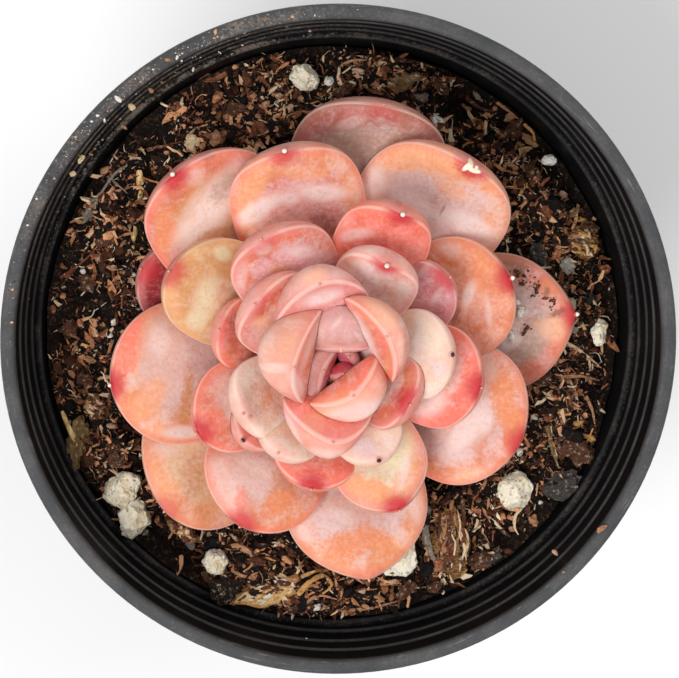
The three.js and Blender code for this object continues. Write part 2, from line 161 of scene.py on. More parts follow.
# Tones seen in the photograph, as sRGB: the plant's, and the litter's
TONES = {
    "cream": "f2dcc6", "blush": "efc0ae", "peach": "f4ba96", "apricot": "efa67a", "orange": "e58e60",
    "salmon": "e2866c", "coral": "f07c68", "rose": "dc8680", "red": "c43238", "crimson": "a02a34",
    "mauve": "c08088", "rosy": "cc8288", "plum": "8a4a66", "tan": "dfb07a", "honey": "e0a46c",
    "amber": "cf8a52", "olive": "e2d4ae", "clay": "b28d7c", "umber": "98644f", "brick": "bd7066",
    "rust": "96503c", "dusk": "ddb0a2", "milk": "efdbd6", "lilac": "e0cdd2", "scab": "f4ead0",
    # rim is the pale leaf rim: partly the clear edge, partly a painted highlight
    "rim": "f8d8ca",
}
LITTER_TONES = {
    "moss": "8a6c44", "shell": "deb094", "umber": "5e3a28", "grey": "8c8074", "soot": "24160f",
    "bone": "f6eee2", "slate": "4a4440", "tan": "b98460", "gold": "d09a58", "pebble": "a8a29a",
    "straw": "e6be82", "cream": "f0d2a8", "russet": "743f2a",
}


def tone(name_or_hex, names=TONES):
    """A named tone, or an sRGB hex colour, as the linear colour that a shader takes."""
    digits = names.get(name_or_hex, name_or_hex)
    parts = [int(digits[i:i + 2], 16) / 255 for i in (0, 2, 4)]
    return (*[c / 12.92 if c <= 0.04045 else ((c + 0.055) / 1.055) ** 2.4 for c in parts], 1.0)


def litter_tone(name):
    return tone(name, LITTER_TONES)


def blade(turn, reach, rise, width, tones, **shape):
    """One leaf's own measures, with whatever else differs from its family's shape."""
    return dict(turn=turn, reach=reach, rise=rise, width=width, tones=tones.split(), **shape)


# Leaves: turn is the compass angle round the stem, reach and rise place the tip, width is the
# widest breadth, start and end are the slopes of the midrib and bow is how far it follows them,
# top and belly are the two half thicknesses, cup bends the blade across, lift raises the tip,
# shift moves it sideways and slant the whole blade, wide is where along the leaf it is broadest,
# and blunt is small for a rounder end. Keen and keel sharpen the margins from above and below.
# tones are the colours of the middle, towards the margin and at the margin, bloom is how much
# pale powder lies on the leaf, blush is how strong the red spot at the tip is, and point is the
# kind of point that the leaf ends in.
PLAIN_LEAF = dict(wide=0.62, blunt=0.55, bow=1, shift=0, slant=0, keen=1.3, keel=1, bloom=0.5, blush=0.8,
                  point="red")
FAMILIES = {
    "heart_leaf": (
        dict(foot=1.6, start=60, end=95, top=0.8, wide=0.7, cup=0.1, keen=1.2, keel=1.35, bloom=0.3,
             blush=0),
        [
            blade(31, 4.7, 24.6, 12.8, "blush salmon coral", start=25, end=112, top=0.6, belly=4.7,
                  lift=-4.4, slant=2.7, shift=-1.4),
            blade(170, 4.2, 24.4, 12.6, "blush salmon rose", start=50, end=98, top=0.3, belly=6.9,
                  lift=-7.5, slant=-1.4, shift=2),
            blade(90, 1.4, 19.2, 11.4, "mauve mauve rose", start=25, end=140, bow=2.2, top=2, belly=6.4,
                  lift=-0.7, wide=0.72, blunt=0.4),
            blade(307, 1.3, 22, 11.6, "blush salmon coral", start=50, end=100, belly=5.6, lift=-3.1,
                  slant=-0.9),
            blade(160, 0.4, 18.6, 10, "rosy rosy crimson", start=60, end=105, top=0.5, belly=3.4,
                  lift=-3, slant=2.7, shift=-1.2),
            blade(110, 8.9, 23.5, 13, "blush rose rose", end=92, belly=5.2, lift=-3.5, shift=-0.8),
            blade(260, 6.6, 22, 12, "peach coral rose", end=90, belly=5.6, lift=-4, slant=-1.1,
                  shift=1.8),
        ],
    ),
    "inner_leaf": (
        dict(foot=2.2, start=50, end=75, top=1.6, belly=2.6, cup=0.35, lift=0.4),
        [
            blade(67, 15.3, 21, 11.4, "dusk blush rose", end=95, bloom=0.7, blush=0.9, point="white"),
            blade(141, 14.6, 20, 12.6, "peach salmon rose", shift=0.8, blush=0.4),
            blade(331, 11.2, 19, 10.5, "dusk salmon rose", blush=0.9),
            blade(6, 14.9, 19, 12.3, "cream cream blush", end=65, lift=0.1, bloom=0.7, blush=0.15,
                  point="night"),
            blade(207, 14.8, 19, 11.5, "peach cream blush", bloom=0.5, blush=0.3),
            blade(236, 14.4, 18.5, 9.9, "peach cream blush", lift=0.1, bloom=0.5, blush=0.2),
            blade(293, 13.9, 18, 9.6, "blush cream blush", lift=0, blunt=0.6, bloom=0.7, blush=0.15,
                  point="night"),
            blade(219.5, 16.2, 17, 8.5, "blush salmon rose", lift=0, blush=0.3, point="night"),
        ],
    ),
    "middle_leaf": (
        dict(foot=2.6, start=35, end=55, top=1.8, belly=3, cup=0.2, lift=0),
        [
            blade(70.5, 22.1, 19, 12.7, "coral coral coral", end=75, lift=0.4, shift=-0.7, bloom=0.15,
                  blush=1, point="white"),
            blade(120, 19.9, 19, 14.4, "rose salmon rose", end=65, lift=0.2, shift=0.9, bloom=0.6,
                  blush=0.4),
            blade(205.5, 20.9, 16, 12.4, "dusk salmon coral", end=45, shift=0.7, blunt=0.65, bloom=0.4,
                  blush=1),
            blade(293, 21.7, 16, 13.2, "olive apricot rose", end=50, blunt=0.7, bloom=0.4, blush=1),
            blade(350, 19.5, 16, 14.3, "blush coral coral", lift=0.1, blunt=0.6, bloom=0.4, blush=1),
            blade(38, 18.5, 16, 11, "rose rosy rose", end=45, lift=0.1, bloom=0.35),
            blade(165, 17, 16, 10.4, "salmon salmon coral", lift=0.4, bloom=0.25, blush=0.5),
            blade(259, 17.4, 16, 12.2, "salmon coral coral", blunt=0.6, bloom=0.3, blush=1),
        ],
    ),
    "outer_leaf": (
        dict(foot=3, start=10, end=35, top=2.2, belly=3.6, cup=0.1, lift=0.1),
        [
            blade(104.5, 29.7, 14, 18.3, "salmon apricot coral", end=55, lift=0.6, shift=0.3,
                  bloom=0.55, point="white"),
            blade(25, 25.9, 12, 17.4, "orange orange salmon", lift=0.2, bloom=0.35, blush=1,
                  point="white"),
            blade(151, 25.4, 15, 14.7, "tan tan honey", end=40, shift=0.6, bloom=0.35),
            blade(240, 26.1, 14, 17.4, "dusk orange coral", lift=0.2, shift=0.3, bloom=0.4, blush=0.9),
            blade(335.3, 28.2, 12, 20.2, "dusk orange coral", lift=0.4, blunt=0.6, bloom=0.55, blush=0.9),
            blade(57, 32.6, 13, 21, "dusk apricot salmon", end=60, lift=0.6, shift=-1.1, bloom=0.6,
                  blush=0.8, point="scab"),
            blade(130.5, 33.5, 11, 20, "honey salmon coral", end=50, lift=0.5, shift=1, bloom=0.45,
                  blush=1, point="white"),
            blade(187.5, 30.4, 11.5, 19.8, "dusk apricot coral", end=30, bloom=0.5, blush=1,
                  point="scab"),
            blade(279.3, 31, 12, 19.8, "dusk apricot salmon", blunt=0.75, bloom=0.6, blush=0.3),
            blade(221, 31.6, 8, 20.2, "tan apricot salmon", shift=1.6, bloom=0.35, blush=0.6),
            # Clay, the body tone at the base of this leaf and the next, is partly painted shade where the
            # heart shades their bases
            blade(9, 33.8, 6, 19.6, "clay salmon salmon", blunt=0.75, bloom=0.4, blush=0.9,
                  point="white"),
            blade(80, 35.5, 9, 21.8, "clay brick umber", end=55, lift=0.7, bloom=0.35, blush=0.4),
            blade(157, 28.9, 6, 14, "crimson crimson rose", end=40, lift=0.4, bloom=0.05),
        ],
    ),
}
LEAVES = [
    {"name": "%s_%d" % (family, i + 1), **PLAIN_LEAF, **shape, **row}
    for family, (shape, rows) in FAMILIES.items()
    for i, row in enumerate(rows)
]
# Unopened leaves in the heart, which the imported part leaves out: they fill the gap over the stem
BUD_SHAPE = dict(foot=0.6, start=80, end=100, top=1.3, belly=1.3, lift=0, cup=0.2, keen=1, bloom=0.2,
                 blush=0.5)
BUD_LEAVES = [
    {"name": "bud_leaf_%d" % (i + 1), **PLAIN_LEAF, **BUD_SHAPE, **row}
    for i, row in enumerate([
        blade(290, 1.2, 19.2, 3.6, "rosy crimson plum"),
        blade(40, 1.6, 18.2, 4.4, "crimson plum plum"),
        blade(200, 2.0, 17.6, 4.6, "rosy plum crimson"),
    ])
]

# Patches on the leaves: tone, strength, place, half length, half breadth in millimetres and turn
MARKS = {
    "outer_leaf_12": [
        # The first clay patch lies where the heart shades the leaf's lower part: painted shade
        ("clay", 0.8, 1.6, 25.8, 4.8, 1.7, 10), ("milk", 0.4, 1.8, 29.4, 2, 0.7, 20),
        ("brick", 0.6, 4.3, 31.4, 4.2, 1.2, -10), ("clay", 0.5, 10.2, 27.6, 2.7, 1.2, -45),
    ],
    "outer_leaf_6": [
        ("apricot", 0.9, 10.4, 24.7, 5.8, 2.3, -10), ("milk", 0.9, 4.3, 21.5, 2, 2, -40),
        ("milk", 0.8, 10.2, 18.4, 4, 1.2, -35), ("milk", 0.9, 17.3, 15.7, 4, 1.3, -28),
        ("apricot", 0.6, 15, 20.4, 2.9, 1.2, -32), ("red", 0.9, 17.3, 24.2, 2.5, 1.5, -38),
        ("scab", 1, 16.7, 23.7, 0.7, 0.3, 40), ("scab", 1, 17.7, 23.2, 0.8, 0.3, -15),
        ("scab", 1, 17.2, 24.2, 0.3, 0.6, 10), ("rust", 0.5, 13.9, 17.8, 0.2, 0.9, -25),
    ],
    "outer_leaf_1": [
        ("salmon", 0.7, -7.3, 25.1, 4.7, 1.6, -6), ("apricot", 0.9, -11.6, 21.2, 1.6, 3.2, -22),
        ("milk", 1, -10.3, 18.2, 3.4, 1.2, 36), ("milk", 0.9, -2.6, 20.3, 3.4, 1.1, -6),
        ("milk", 0.7, -6.6, 19.5, 1.2, 0.9, 0), ("rust", 0.6, -2.3, 16, 2, 1.1, -30),
        ("apricot", 0.6, -5.3, 23.1, 2.9, 1.1, -8),
    ],
    "outer_leaf_7": [
        ("salmon", 0.8, -14.2, 25.8, 3.2, 1.2, 10), ("orange", 0.9, -23.4, 14.9, 1.6, 4.3, -5),
        ("milk", 0.9, -16.9, 18.1, 6.9, 0.9, 52), ("clay", 0.6, -15.3, 21, 3.2, 1.2, 52),
        ("amber", 0.7, -16.4, 14.2, 2.9, 1.1, 22), ("umber", 1, -17.6, 25, 1.1, 0.5, 12),
        ("milk", 0.4, -19.1, 22.5, 1.3, 1.2, 40),
    ],
    "outer_leaf_3": [
        ("olive", 0.8, -15.6, 12.6, 1.2, 0.8, -30), ("olive", 0.7, -17.8, 6.3, 1.5, 2.9, -15),
        ("olive", 0.7, -19.1, 3.6, 1.2, 1.3, 0), ("apricot", 0.5, -21.9, 5.8, 0.9, 2.4, 10),
    ],
    "outer_leaf_8": [
        ("coral", 0.8, -28.3, -0.8, 1.5, 4.8, -14), ("dusk", 0.8, -23.2, -1.4, 2.9, 5.6, -4),
        ("milk", 0.5, -23.9, 0.6, 1.2, 2.4, 0), ("amber", 0.8, -20.4, -7.2, 0.8, 3.8, -8),
        ("milk", 0.9, -21, -12.2, 2.7, 0.6, -6), ("apricot", 0.7, -25.6, -7.6, 1.6, 3.2, -30),
    ],
    "outer_leaf_10": [
        ("milk", 0.5, -23.1, -14.4, 2.2, 1.4, 0), ("apricot", 0.8, -24.2, -20.4, 1.5, 4.1, 22),
        ("amber", 0.4, -18.1, -19, 1.9, 4.1, 0),
    ],
    "outer_leaf_4": [
        ("dusk", 0.8, -12.1, -15.7, 4.6, 2, -22), ("milk", 0.6, -10.5, -16.6, 2.9, 1.2, -25),
        ("amber", 0.6, -7.2, -18.1, 1.5, 2, -40), ("orange", 0.9, -8.1, -21.3, 3.2, 1.6, 25),
        ("milk", 0.7, -15.5, -18.7, 5.1, 0.4, -58), ("coral", 0.6, -13.3, -20.8, 0.8, 2.3, 0),
    ],
    "outer_leaf_9": [
        ("dusk", 0.9, 1.7, -22.7, 4.9, 2, -10), ("milk", 0.6, 0.1, -23.6, 1.9, 1, -20),
        ("milk", 0.7, -5.3, -25.9, 2, 1.1, -32), ("orange", 0.9, 2.1, -27.2, 5.4, 1.2, 8),
        ("milk", 0.6, 10.5, -22.6, 1.1, 2.7, 12),
    ],
    "outer_leaf_5": [
        ("dusk", 0.8, 14.9, -11.2, 3, 3.2, 20), ("milk", 0.8, 17.4, -11.4, 1.4, 4.6, -35),
        ("orange", 0.9, 22, -7.2, 2, 4.9, 14), ("milk", 0.7, 19.7, -10.6, 0.9, 1.6, -10),
        ("peach", 0.7, 17.4, -18.6, 3.3, 1.1, 22), ("milk", 0.5, 20.1, -4, 1.4, 1.6, -20),
    ],
    "outer_leaf_11": [
        ("umber", 0.8, 24.3, 10.3, 2.7, 1.8, -38), ("orange", 0.6, 29.2, 6.6, 1.6, 1.5, -50),
        ("clay", 0.6, 26.3, -1.3, 3, 1.8, 35), ("peach", 0.7, 29.4, 1.1, 1.9, 1.8, 40),
        ("milk", 0.6, 23.6, -0.9, 1.5, 1, 30), ("umber", 0.8, 28.5, 5.9, 0.4, 0.8, 0),
        ("umber", 0.9, 30.3, 3.3, 1.6, 0.3, 20),
    ],
    "outer_leaf_2": [
        ("orange", 0.8, 19.2, 11.7, 3.2, 1.7, -42), ("milk", 0.8, 17.2, 6.1, 0.7, 2, -12),
        ("milk", 0.5, 19.9, 4.1, 0.5, 2.3, 8), ("dusk", 0.7, 14.5, 12.8, 2, 1.1, -35),
        ("rust", 0.6, 15.5, 3.7, 0.9, 1.5, 0),
    ],
    "middle_leaf_1": [
        ("coral", 0.7, 5.2, 18.1, 3.4, 1.2, -10), ("milk", 0.6, 1.9, 15.1, 2.4, 0.7, 8),
        ("crimson", 0.9, 7.4, 19.3, 0.7, 0.4, 30), ("milk", 0.4, 0.4, 16.8, 0.7, 1.3, -35),
    ],
    "middle_leaf_2": [
        ("coral", 0.6, -8.1, 15.6, 3.4, 0.8, 6), ("milk", 0.8, -10.4, 13.7, 1.2, 0.9, 0),
        ("milk", 0.6, -5.2, 12.9, 2.6, 0.8, -10), ("amber", 0.6, -8.4, 10.5, 2, 0.9, 20),
        ("milk", 0.5, -13.1, 9.8, 0.8, 2.1, -10),
    ],
    "middle_leaf_7": [
        ("rust", 0.5, -14.6, 4.3, 1.2, 1.2, 0), ("milk", 0.3, -15.9, 0.7, 0.9, 1.2, 0),
    ],
    "middle_leaf_3": [
        ("coral", 0.5, -17.1, -9.3, 1.6, 1.8, 0), ("dusk", 0.4, -14.9, -4.9, 1.9, 2.4, 0),
    ],
    "middle_leaf_8": [
        ("coral", 0.6, -2.8, -17.3, 1.9, 1.2, 0), ("dusk", 0.4, -6.5, -15, 1.6, 1.2, -30),
    ],
    "middle_leaf_4": [
        ("olive", 0.8, 7.1, -13.6, 2.7, 2.7, 0), ("apricot", 0.9, 3.9, -19.1, 3.5, 1.1, -12),
        ("milk", 0.6, 8.4, -16.6, 0.7, 2.7, -12),
    ],
    "middle_leaf_5": [
        ("milk", 0.7, 11.2, -8, 2.7, 1.6, 15), ("coral", 0.8, 17.2, -3.8, 1.5, 3.2, -14),
    ],
    "middle_leaf_6": [
        ("milk", 0.5, 13.1, 7.5, 0.5, 2.2, -35), ("milk", 0.4, 10.9, 10.3, 0.4, 1.8, -40),
    ],
    "inner_leaf_1": [
        ("milk", 0.8, 3.6, 11.1, 2.3, 1.2, -15), ("milk", 0.5, 7.8, 7.8, 1, 1.8, 0),
        ("rose", 0.9, 6.7, 13, 1.2, 0.3, -38), ("rose", 0.8, 5.3, 11.2, 1, 0.3, -20),
    ],
    "inner_leaf_2": [
        ("milk", 0.7, -12.1, 6.8, 1.2, 2.1, -10), ("peach", 0.8, -10.2, 4, 1.6, 0.8, 0),
    ],
    "inner_leaf_3": [
        ("coral", 0.6, 9.3, -5.9, 0.4, 1.3, 5), ("amber", 0.4, 8.9, -3.9, 0.8, 1.6, 0),
    ],
    "inner_leaf_4": [
        ("cream", 0.9, 12.3, 2.4, 2, 3.7, 8), ("lilac", 0.6, 12.9, -2.6, 1.2, 1.3, 0),
    ],
    "inner_leaf_5": [
        ("milk", 0.5, -13.4, -5.5, 1.2, 2.1, 0), ("plum", 0.7, -12.1, -8.3, 0.4, 0.4, 0),
    ],
    "inner_leaf_6": [
        ("peach", 0.8, -8.5, -9.1, 1.6, 2.4, 0), ("cream", 0.6, -7.2, -12.8, 1.8, 0.9, -15),
    ],
    "inner_leaf_7": [
        ("lilac", 0.9, 3.2, -13.4, 1.6, 1.5, -20), ("cream", 0.6, 6.2, -10.7, 1.9, 1.3, 0),
    ],
    "inner_leaf_8": [
        ("milk", 0.4, -14, -10.3, 0.8, 1.3, 0),
    ],
    "heart_leaf_1": [
        ("apricot", 0.9, 4.3, 5.5, 2.4, 1.5, -38), ("crimson", 0.9, 5.8, 3.3, 0.4, 0.3, 0),
        ("lilac", 0.7, 7.4, 4.9, 0.4, 0.8, 0), ("amber", 0.8, 5.7, -0.4, 0.4, 2.1, -6),
        ("milk", 1, 2.8, 1.9, 1, 4.4, 22), ("milk", 0.6, 7.1, 0.8, 0.5, 2.1, 0),
    ],
    "heart_leaf_2": [
        ("orange", 0.9, -6.8, 1.2, 2.2, 1.8, 40), ("red", 0.9, -6.8, -1.1, 0.3, 0.4, 0),
        ("milk", 0.9, -6.2, -3.3, 0.9, 1.9, 20), ("milk", 0.7, -8.8, -1.1, 1.9, 0.3, 0),
        ("dusk", 0.8, -4.1, 2.2, 0.5, 4.4, -20),
    ],
    "heart_leaf_4": [
        ("peach", 0.8, -0.4, -6.4, 3.9, 0.5, 14), ("orange", 0.8, -0.2, -5.1, 1.2, 0.8, 20),
        ("coral", 0.9, 2.7, -2.6, 0.5, 2.6, -12), ("lilac", 0.9, 2.4, -7.1, 3.6, 0.8, 12),
        ("milk", 1, 1.1, -4.9, 0.4, 0.3, 0),
    ],
    "heart_leaf_3": [
        ("mauve", 0.9, -0.5, 4.4, 3.1, 1.5, -10), ("lilac", 0.7, -0.8, 4.4, 1.3, 0.3, 50),
        ("lilac", 0.7, 1.9, 2.5, 1, 0.3, -50), ("crimson", 0.8, -0.4, 1.3, 0.9, 0.3, 0),
        # The last milk line lies along the lip: partly the pale margin, partly a painted highlight where the
        # lip curves over
        ("milk", 1, -0.1, -0.1, 3.1, 0.4, 2),
    ],
    "heart_leaf_5": [
        ("crimson", 0.6, -1.6, -2.2, 1.6, 2.1, -30), ("rosy", 0.9, -3.2, -4.7, 1.4, 0.9, 40),
        ("milk", 0.6, -4, -5.3, 1.3, 0.4, 52),
    ],
    "heart_leaf_6": [
        ("milk", 1, -2.8, 7.7, 3.1, 0.9, 14), ("apricot", 0.9, -3.7, 10.1, 2.2, 1.2, 10),
        ("milk", 0.5, -0.5, 10.5, 1.3, 1.2, 0),
    ],
    "heart_leaf_7": [
        ("orange", 0.8, -4.3, -9.6, 1.6, 1.7, -20), ("coral", 0.9, -1.5, -11.2, 0.5, 0.7, 0),
        ("milk", 0.9, -6.7, -9.9, 0.8, 3.1, 20), ("milk", 0.7, -1.7, -13.2, 3.1, 0.5, -6),
    ],
}

# Points that leaves end in: radius and length in millimetres, and tone
POINTS = {
    "white": (0.4, 0.75, "f8eee2"),
    "scab": (0.34, 0.6, "f3e2d2"),
    "red": (0.22, 0.5, "e8a08c"),
    "night": (0.4, 0.8, "3a1c2c"),
}

# Loose bits on the mix: tone, place, length, breadth and height in millimetres, and turn
BITS = [
    ("moss", -35.5, -14.9, 6.9, 2.7, 2, 80), ("shell", -31.6, -13.1, 1.9, 1.2, 1, 20),
    ("umber", -30.4, -16.7, 2.5, 2.3, 1.8, 0), ("grey", -26.6, -27.9, 1.1, 0.7, 0.8, 30),
    ("grey", -20.4, -29.9, 1.4, 1.7, 1.2, 0), ("soot", -15.4, -35.4, 4.2, 3.3, 2.4, 20),
    ("bone", -9.4, -37.4, 1.4, 1.3, 1, 10), ("bone", -2.8, -38.0, 1.3, 1.3, 1, 0),
    ("slate", 31.7, -21.7, 5.0, 3.4, 2.4, 25), ("tan", 22.9, -26.6, 1.1, 0.7, 0.8, 40),
    ("tan", 25.0, -28.4, 1.3, 0.7, 0.8, -20), ("tan", 27.7, -26.5, 1.1, 0.8, 0.8, 70),
    ("tan", 27.7, -26.9, 1.5, 0.8, 0.9, -40), ("shell", 23.5, -24.4, 1.1, 0.7, 0.6, 10),
    ("bone", 27.5, -11.9, 0.7, 0.7, 0.7, 0), ("bone", 29.1, -12.3, 0.7, 0.7, 0.6, 0),
    ("bone", 25.7, -17.1, 0.8, 1.1, 0.9, 0), ("bone", 26.2, -18.4, 0.7, 0.7, 0.6, 0),
    ("bone", 28.7, -24.3, 0.6, 0.6, 0.5, 0), ("gold", 33.4, -13.3, 2.2, 1.0, 0.8, 35),
    ("gold", 35.4, -15.4, 2.0, 0.8, 0.8, -20), ("gold", 31.3, -16.6, 2.1, 1.0, 0.8, 60),
    ("umber", 33.7, -16.9, 5.6, 3.1, 1.8, -30), ("pebble", 32.1, 9.0, 1.9, 2.5, 1.6, 0),
    ("pebble", 33.2, -0.1, 1.3, 1.7, 1.2, 0), ("shell", 31.5, 18.2, 1.0, 1.7, 0.7, 10),
    ("moss", 32.7, 16.0, 2.8, 0.8, 0.8, 35), ("gold", 34.4, 15.3, 3.3, 0.8, 0.8, -10),
    ("moss", 35.6, 14.3, 2.8, 0.7, 0.8, -30), ("umber", 36.2, 12.6, 2.5, 1.1, 1, -45),
    ("straw", 25.2, 24.6, 4.7, 0.7, 0.7, 12), ("bone", 26.0, 23.7, 0.8, 0.7, 0.7, 0),
    ("umber", 24.8, 27.6, 3.3, 1.9, 2, 60), ("tan", 27.0, 26.2, 2.2, 1.0, 1, -40),
    ("umber", 26.7, 21.4, 3.0, 1.7, 1.8, -70), ("tan", 24.4, 29.3, 1.7, 0.8, 0.9, 20),
    ("gold", 25.8, 19.7, 1.8, 0.7, 0.8, 60), ("tan", 23.9, 22.8, 1.9, 0.8, 0.8, -20),
    ("moss", 9.2, 34.5, 4.7, 2.2, 1.6, 10), ("shell", 3.4, 35.5, 2.7, 1.1, 0.9, -10),
    ("umber", 1.3, 33.2, 3.0, 1.4, 1.4, 30), ("grey", 11.7, 32.2, 2.2, 1.1, 1, -30),
    ("umber", 14.4, 33.8, 3.3, 1.4, 1.4, -40), ("tan", -11.4, 32.5, 1.2, 1.1, 1, 0),
    ("tan", -9.8, 31.3, 1.5, 1.1, 1.1, 20), ("tan", -8.0, 32.4, 1.2, 1.0, 1, 0),
    ("shell", -6.5, 30.7, 1.4, 1.1, 1, 40), ("tan", -5.1, 32.1, 1.4, 1.1, 1, 0),
    ("tan", -10.5, 29.7, 1.1, 0.8, 0.8, 0), ("shell", -8.2, 29.4, 1.2, 0.8, 0.9, -20),
    ("umber", -13.8, 30.5, 2.7, 1.4, 1.4, 0), ("tan", -15.0, 29.7, 1.8, 1.1, 1, 10),
    ("cream", -19.7, 26.2, 2.0, 2.0, 2.2, 0), ("tan", -16.4, 26.7, 1.5, 2.1, 2, 0),
    ("tan", -31.4, 22.4, 1.6, 1.0, 0.8, 30), ("grey", -33.9, 16.4, 2.3, 1.6, 1, 60),
    ("grey", -33.3, 18.0, 1.6, 1.1, 0.8, 30), ("umber", -34.3, 7.0, 2.3, 2.1, 1.6, 0),
    ("bone", -27.8, 8.1, 0.8, 0.8, 0.8, 0), ("bone", -29.6, 11.8, 0.7, 0.7, 0.7, 0),
    ("bone", -32.8, 10.4, 0.7, 0.7, 0.7, 0), ("bone", -34.8, 8.5, 0.7, 0.7, 0.7, 0),
    ("bone", -30.5, 1.5, 1.1, 1.2, 1, 0), ("bone", -31.0, 0.0, 0.8, 0.7, 0.7, 0),
    ("tan", -30.7, 9.1, 1.6, 0.8, 0.8, -20), ("tan", -29.1, 8.5, 1.4, 0.7, 0.7, 20),
    ("shell", -28.5, 17.6, 1.1, 0.5, 0.6, 60), ("tan", -29.8, 15.0, 1.2, 0.7, 0.7, -40),
    ("umber", -31.6, 12.9, 2.2, 1.4, 1.3, 0), ("tan", 18.6, 30.4, 1.7, 0.7, 0.8, -40),
    ("grey", 19.7, 32.4, 1.9, 0.8, 0.9, -50), ("slate", 23.5, 15.9, 3.0, 2.5, 2.2, 0),
    ("slate", 28.4, 10.4, 3.6, 1.9, 1.8, -60), ("umber", 31.2, 5.5, 2.8, 1.7, 1.5, 80),
    ("slate", 35.4, 4.0, 2.2, 1.9, 1.6, 0), ("tan", 32.1, -2.2, 1.4, 0.7, 0.7, -30),
    ("umber", 29.1, -6.9, 3.1, 1.7, 1.5, -10), ("gold", 29.0, -9.0, 1.7, 0.7, 0.8, -60),
    ("tan", 33.0, -8.7, 1.3, 0.8, 0.8, 0), ("umber", -5.1, -37.9, 3.6, 1.4, 1.4, 10),
    ("soot", 2.5, -37.4, 4.2, 2.0, 2, 20), ("tan", 6.0, -37.1, 1.7, 0.8, 0.9, -30),
    ("umber", 9.5, -36.0, 3.1, 1.7, 1.6, 30), ("shell", 3.5, -35.8, 1.3, 0.7, 0.7, 0),
    ("tan", 1.1, -34.6, 1.4, 0.7, 0.8, 60), ("soot", -10.7, -35.7, 3.6, 1.9, 1.8, 0),
    ("umber", -17.6, -34.3, 2.8, 1.4, 1.4, -30), ("umber", 20.1, -32.2, 3.6, 2.0, 1.8, 30),
    ("tan", 20.9, -30.0, 1.4, 0.7, 0.8, 0), ("gold", 17.3, -34.2, 2.0, 0.8, 0.9, 40),
    ("umber", 13.8, -36.0, 2.8, 1.4, 1.4, 10), ("slate", 21.9, -31.8, 3.1, 1.4, 1.4, 30),
    ("tan", -35.9, -2.1, 1.2, 0.7, 0.7, 30), ("umber", -36.8, 0.6, 1.9, 2.2, 1.5, 0),
    ("tan", -34.1, -3.5, 1.4, 0.8, 0.8, -30), ("umber", -34.6, -6.2, 2.5, 1.6, 1.4, 0),
    ("shell", -32.9, -0.1, 1.0, 0.5, 0.6, 0),
]

# Strands on the mix: tone, radius and the places that they run through, in millimetres
STRANDS = [
    ("grey", 0.24, [(-33.2, 17.4), (-30.9, 21.1), (-29.2, 22.7), (-27.0, 23.5)]),
    ("grey", 0.2, [(-31.2, 21.5), (-29.8, 20.5), (-28.5, 19.3)]),
    ("russet", 0.3, [(-25.9, 25.0), (-23.6, 25.5), (-21.0, 26.3)]),
    ("cream", 0.25, [(-33.9, 13.3), (-33.1, 14.2), (-32.3, 14.6)]),
    ("straw", 0.2, [(-27.8, 12.2), (-27.3, 11.4), (-26.7, 10.6)]),
    ("russet", 0.26, [(-37.8, 7.7), (-35.3, 9.4), (-33.0, 11.5)]),
    ("tan", 0.38, [(-15.2, -29.9), (-13.7, -29.2), (-12.1, -30.0), (-11.8, -31.6), (-13.0, -32.9)]),
    ("tan", 0.3, [(-14.6, -32.9), (-12.8, -33.6), (-11.0, -32.8)]),
    ("gold", 0.42, [(-5.4, -35.8), (-4.0, -34.0), (-2.1, -33.2), (-0.8, -34.5), (-2.1, -35.8)]),
    ("gold", 0.34, [(-5.1, -33.3), (-3.4, -32.7), (-1.5, -32.6)]),
    ("tan", 0.3, [(0.4, -38.6), (4.4, -38.4), (8.5, -37.7)]),
    ("grey", 0.6, [(12.9, -24.4), (12.4, -27.7), (13.1, -30.7), (14.4, -33.1)]),
    ("moss", 0.4, [(29.4, -13.2), (30.2, -16.3), (31.1, -19.3)]),
    ("tan", 0.28, [(34.8, -9.2), (35.8, -11.3), (36.2, -13.3)]),
    ("cream", 0.36, [(31.3, -1.5), (34.0, -3.0), (36.9, -5.3)]),
    ("tan", 0.3, [(31.1, -6.4), (34.0, -6.3), (36.9, -7.3)]),
    ("gold", 0.34, [(30.2, -16.0), (31.6, -17.3), (33.4, -17.7), (35.0, -16.2), (36.0, -13.9)]),
    ("cream", 0.3, [(25.9, -24.8), (25.1, -26.2), (25.1, -27.9), (25.6, -28.9)]),
    ("umber", 0.4, [(22.0, -24.8), (22.9, -27.7), (24.5, -29.3)]),
    ("tan", 0.3, [(27.9, -5.9), (26.7, -7.8), (27.3, -9.9)]),
    ("gold", 0.28, [(30.6, -11.1), (32.3, -10.3), (34.1, -11.0)]),
    ("umber", 0.34, [(18.3, 32.0), (20.0, 30.7), (21.9, 30.1)]),
    ("tan", 0.26, [(22.4, 31.4), (23.9, 30.3), (25.4, 29.1)]),
    ("gold", 0.26, [(26.2, 28.4), (27.6, 27.0), (27.7, 25.1)]),
    ("umber", 0.34, [(8.2, 37.3), (10.9, 37.0), (13.8, 36.1)]),
    ("tan", 0.26, [(0.7, 36.4), (2.3, 37.2), (4.5, 37.3)]),
    ("tan", 0.28, [(-4.4, -37.2), (-2.6, -36.1), (-0.1, -36.5)]),
    ("umber", 0.34, [(-10.4, -37.2), (-7.4, -37.8), (-5.1, -37.0)]),
    ("gold", 0.3, [(-12.1, -31.3), (-10.4, -30.8), (-8.5, -31.4)]),
    ("tan", 0.3, [(16.1, -23.5), (15.6, -26.5), (16.1, -29.9)]),
    ("umber", 0.4, [(17.5, -23.2), (17.6, -27.0), (17.0, -30.7)]),
    ("gold", 0.34, [(14.8, -25.6), (14.5, -28.8), (15.3, -32.0)]),
    ("cream", 0.3, [(16.7, -31.4), (15.9, -33.2), (16.1, -34.9)]),
]

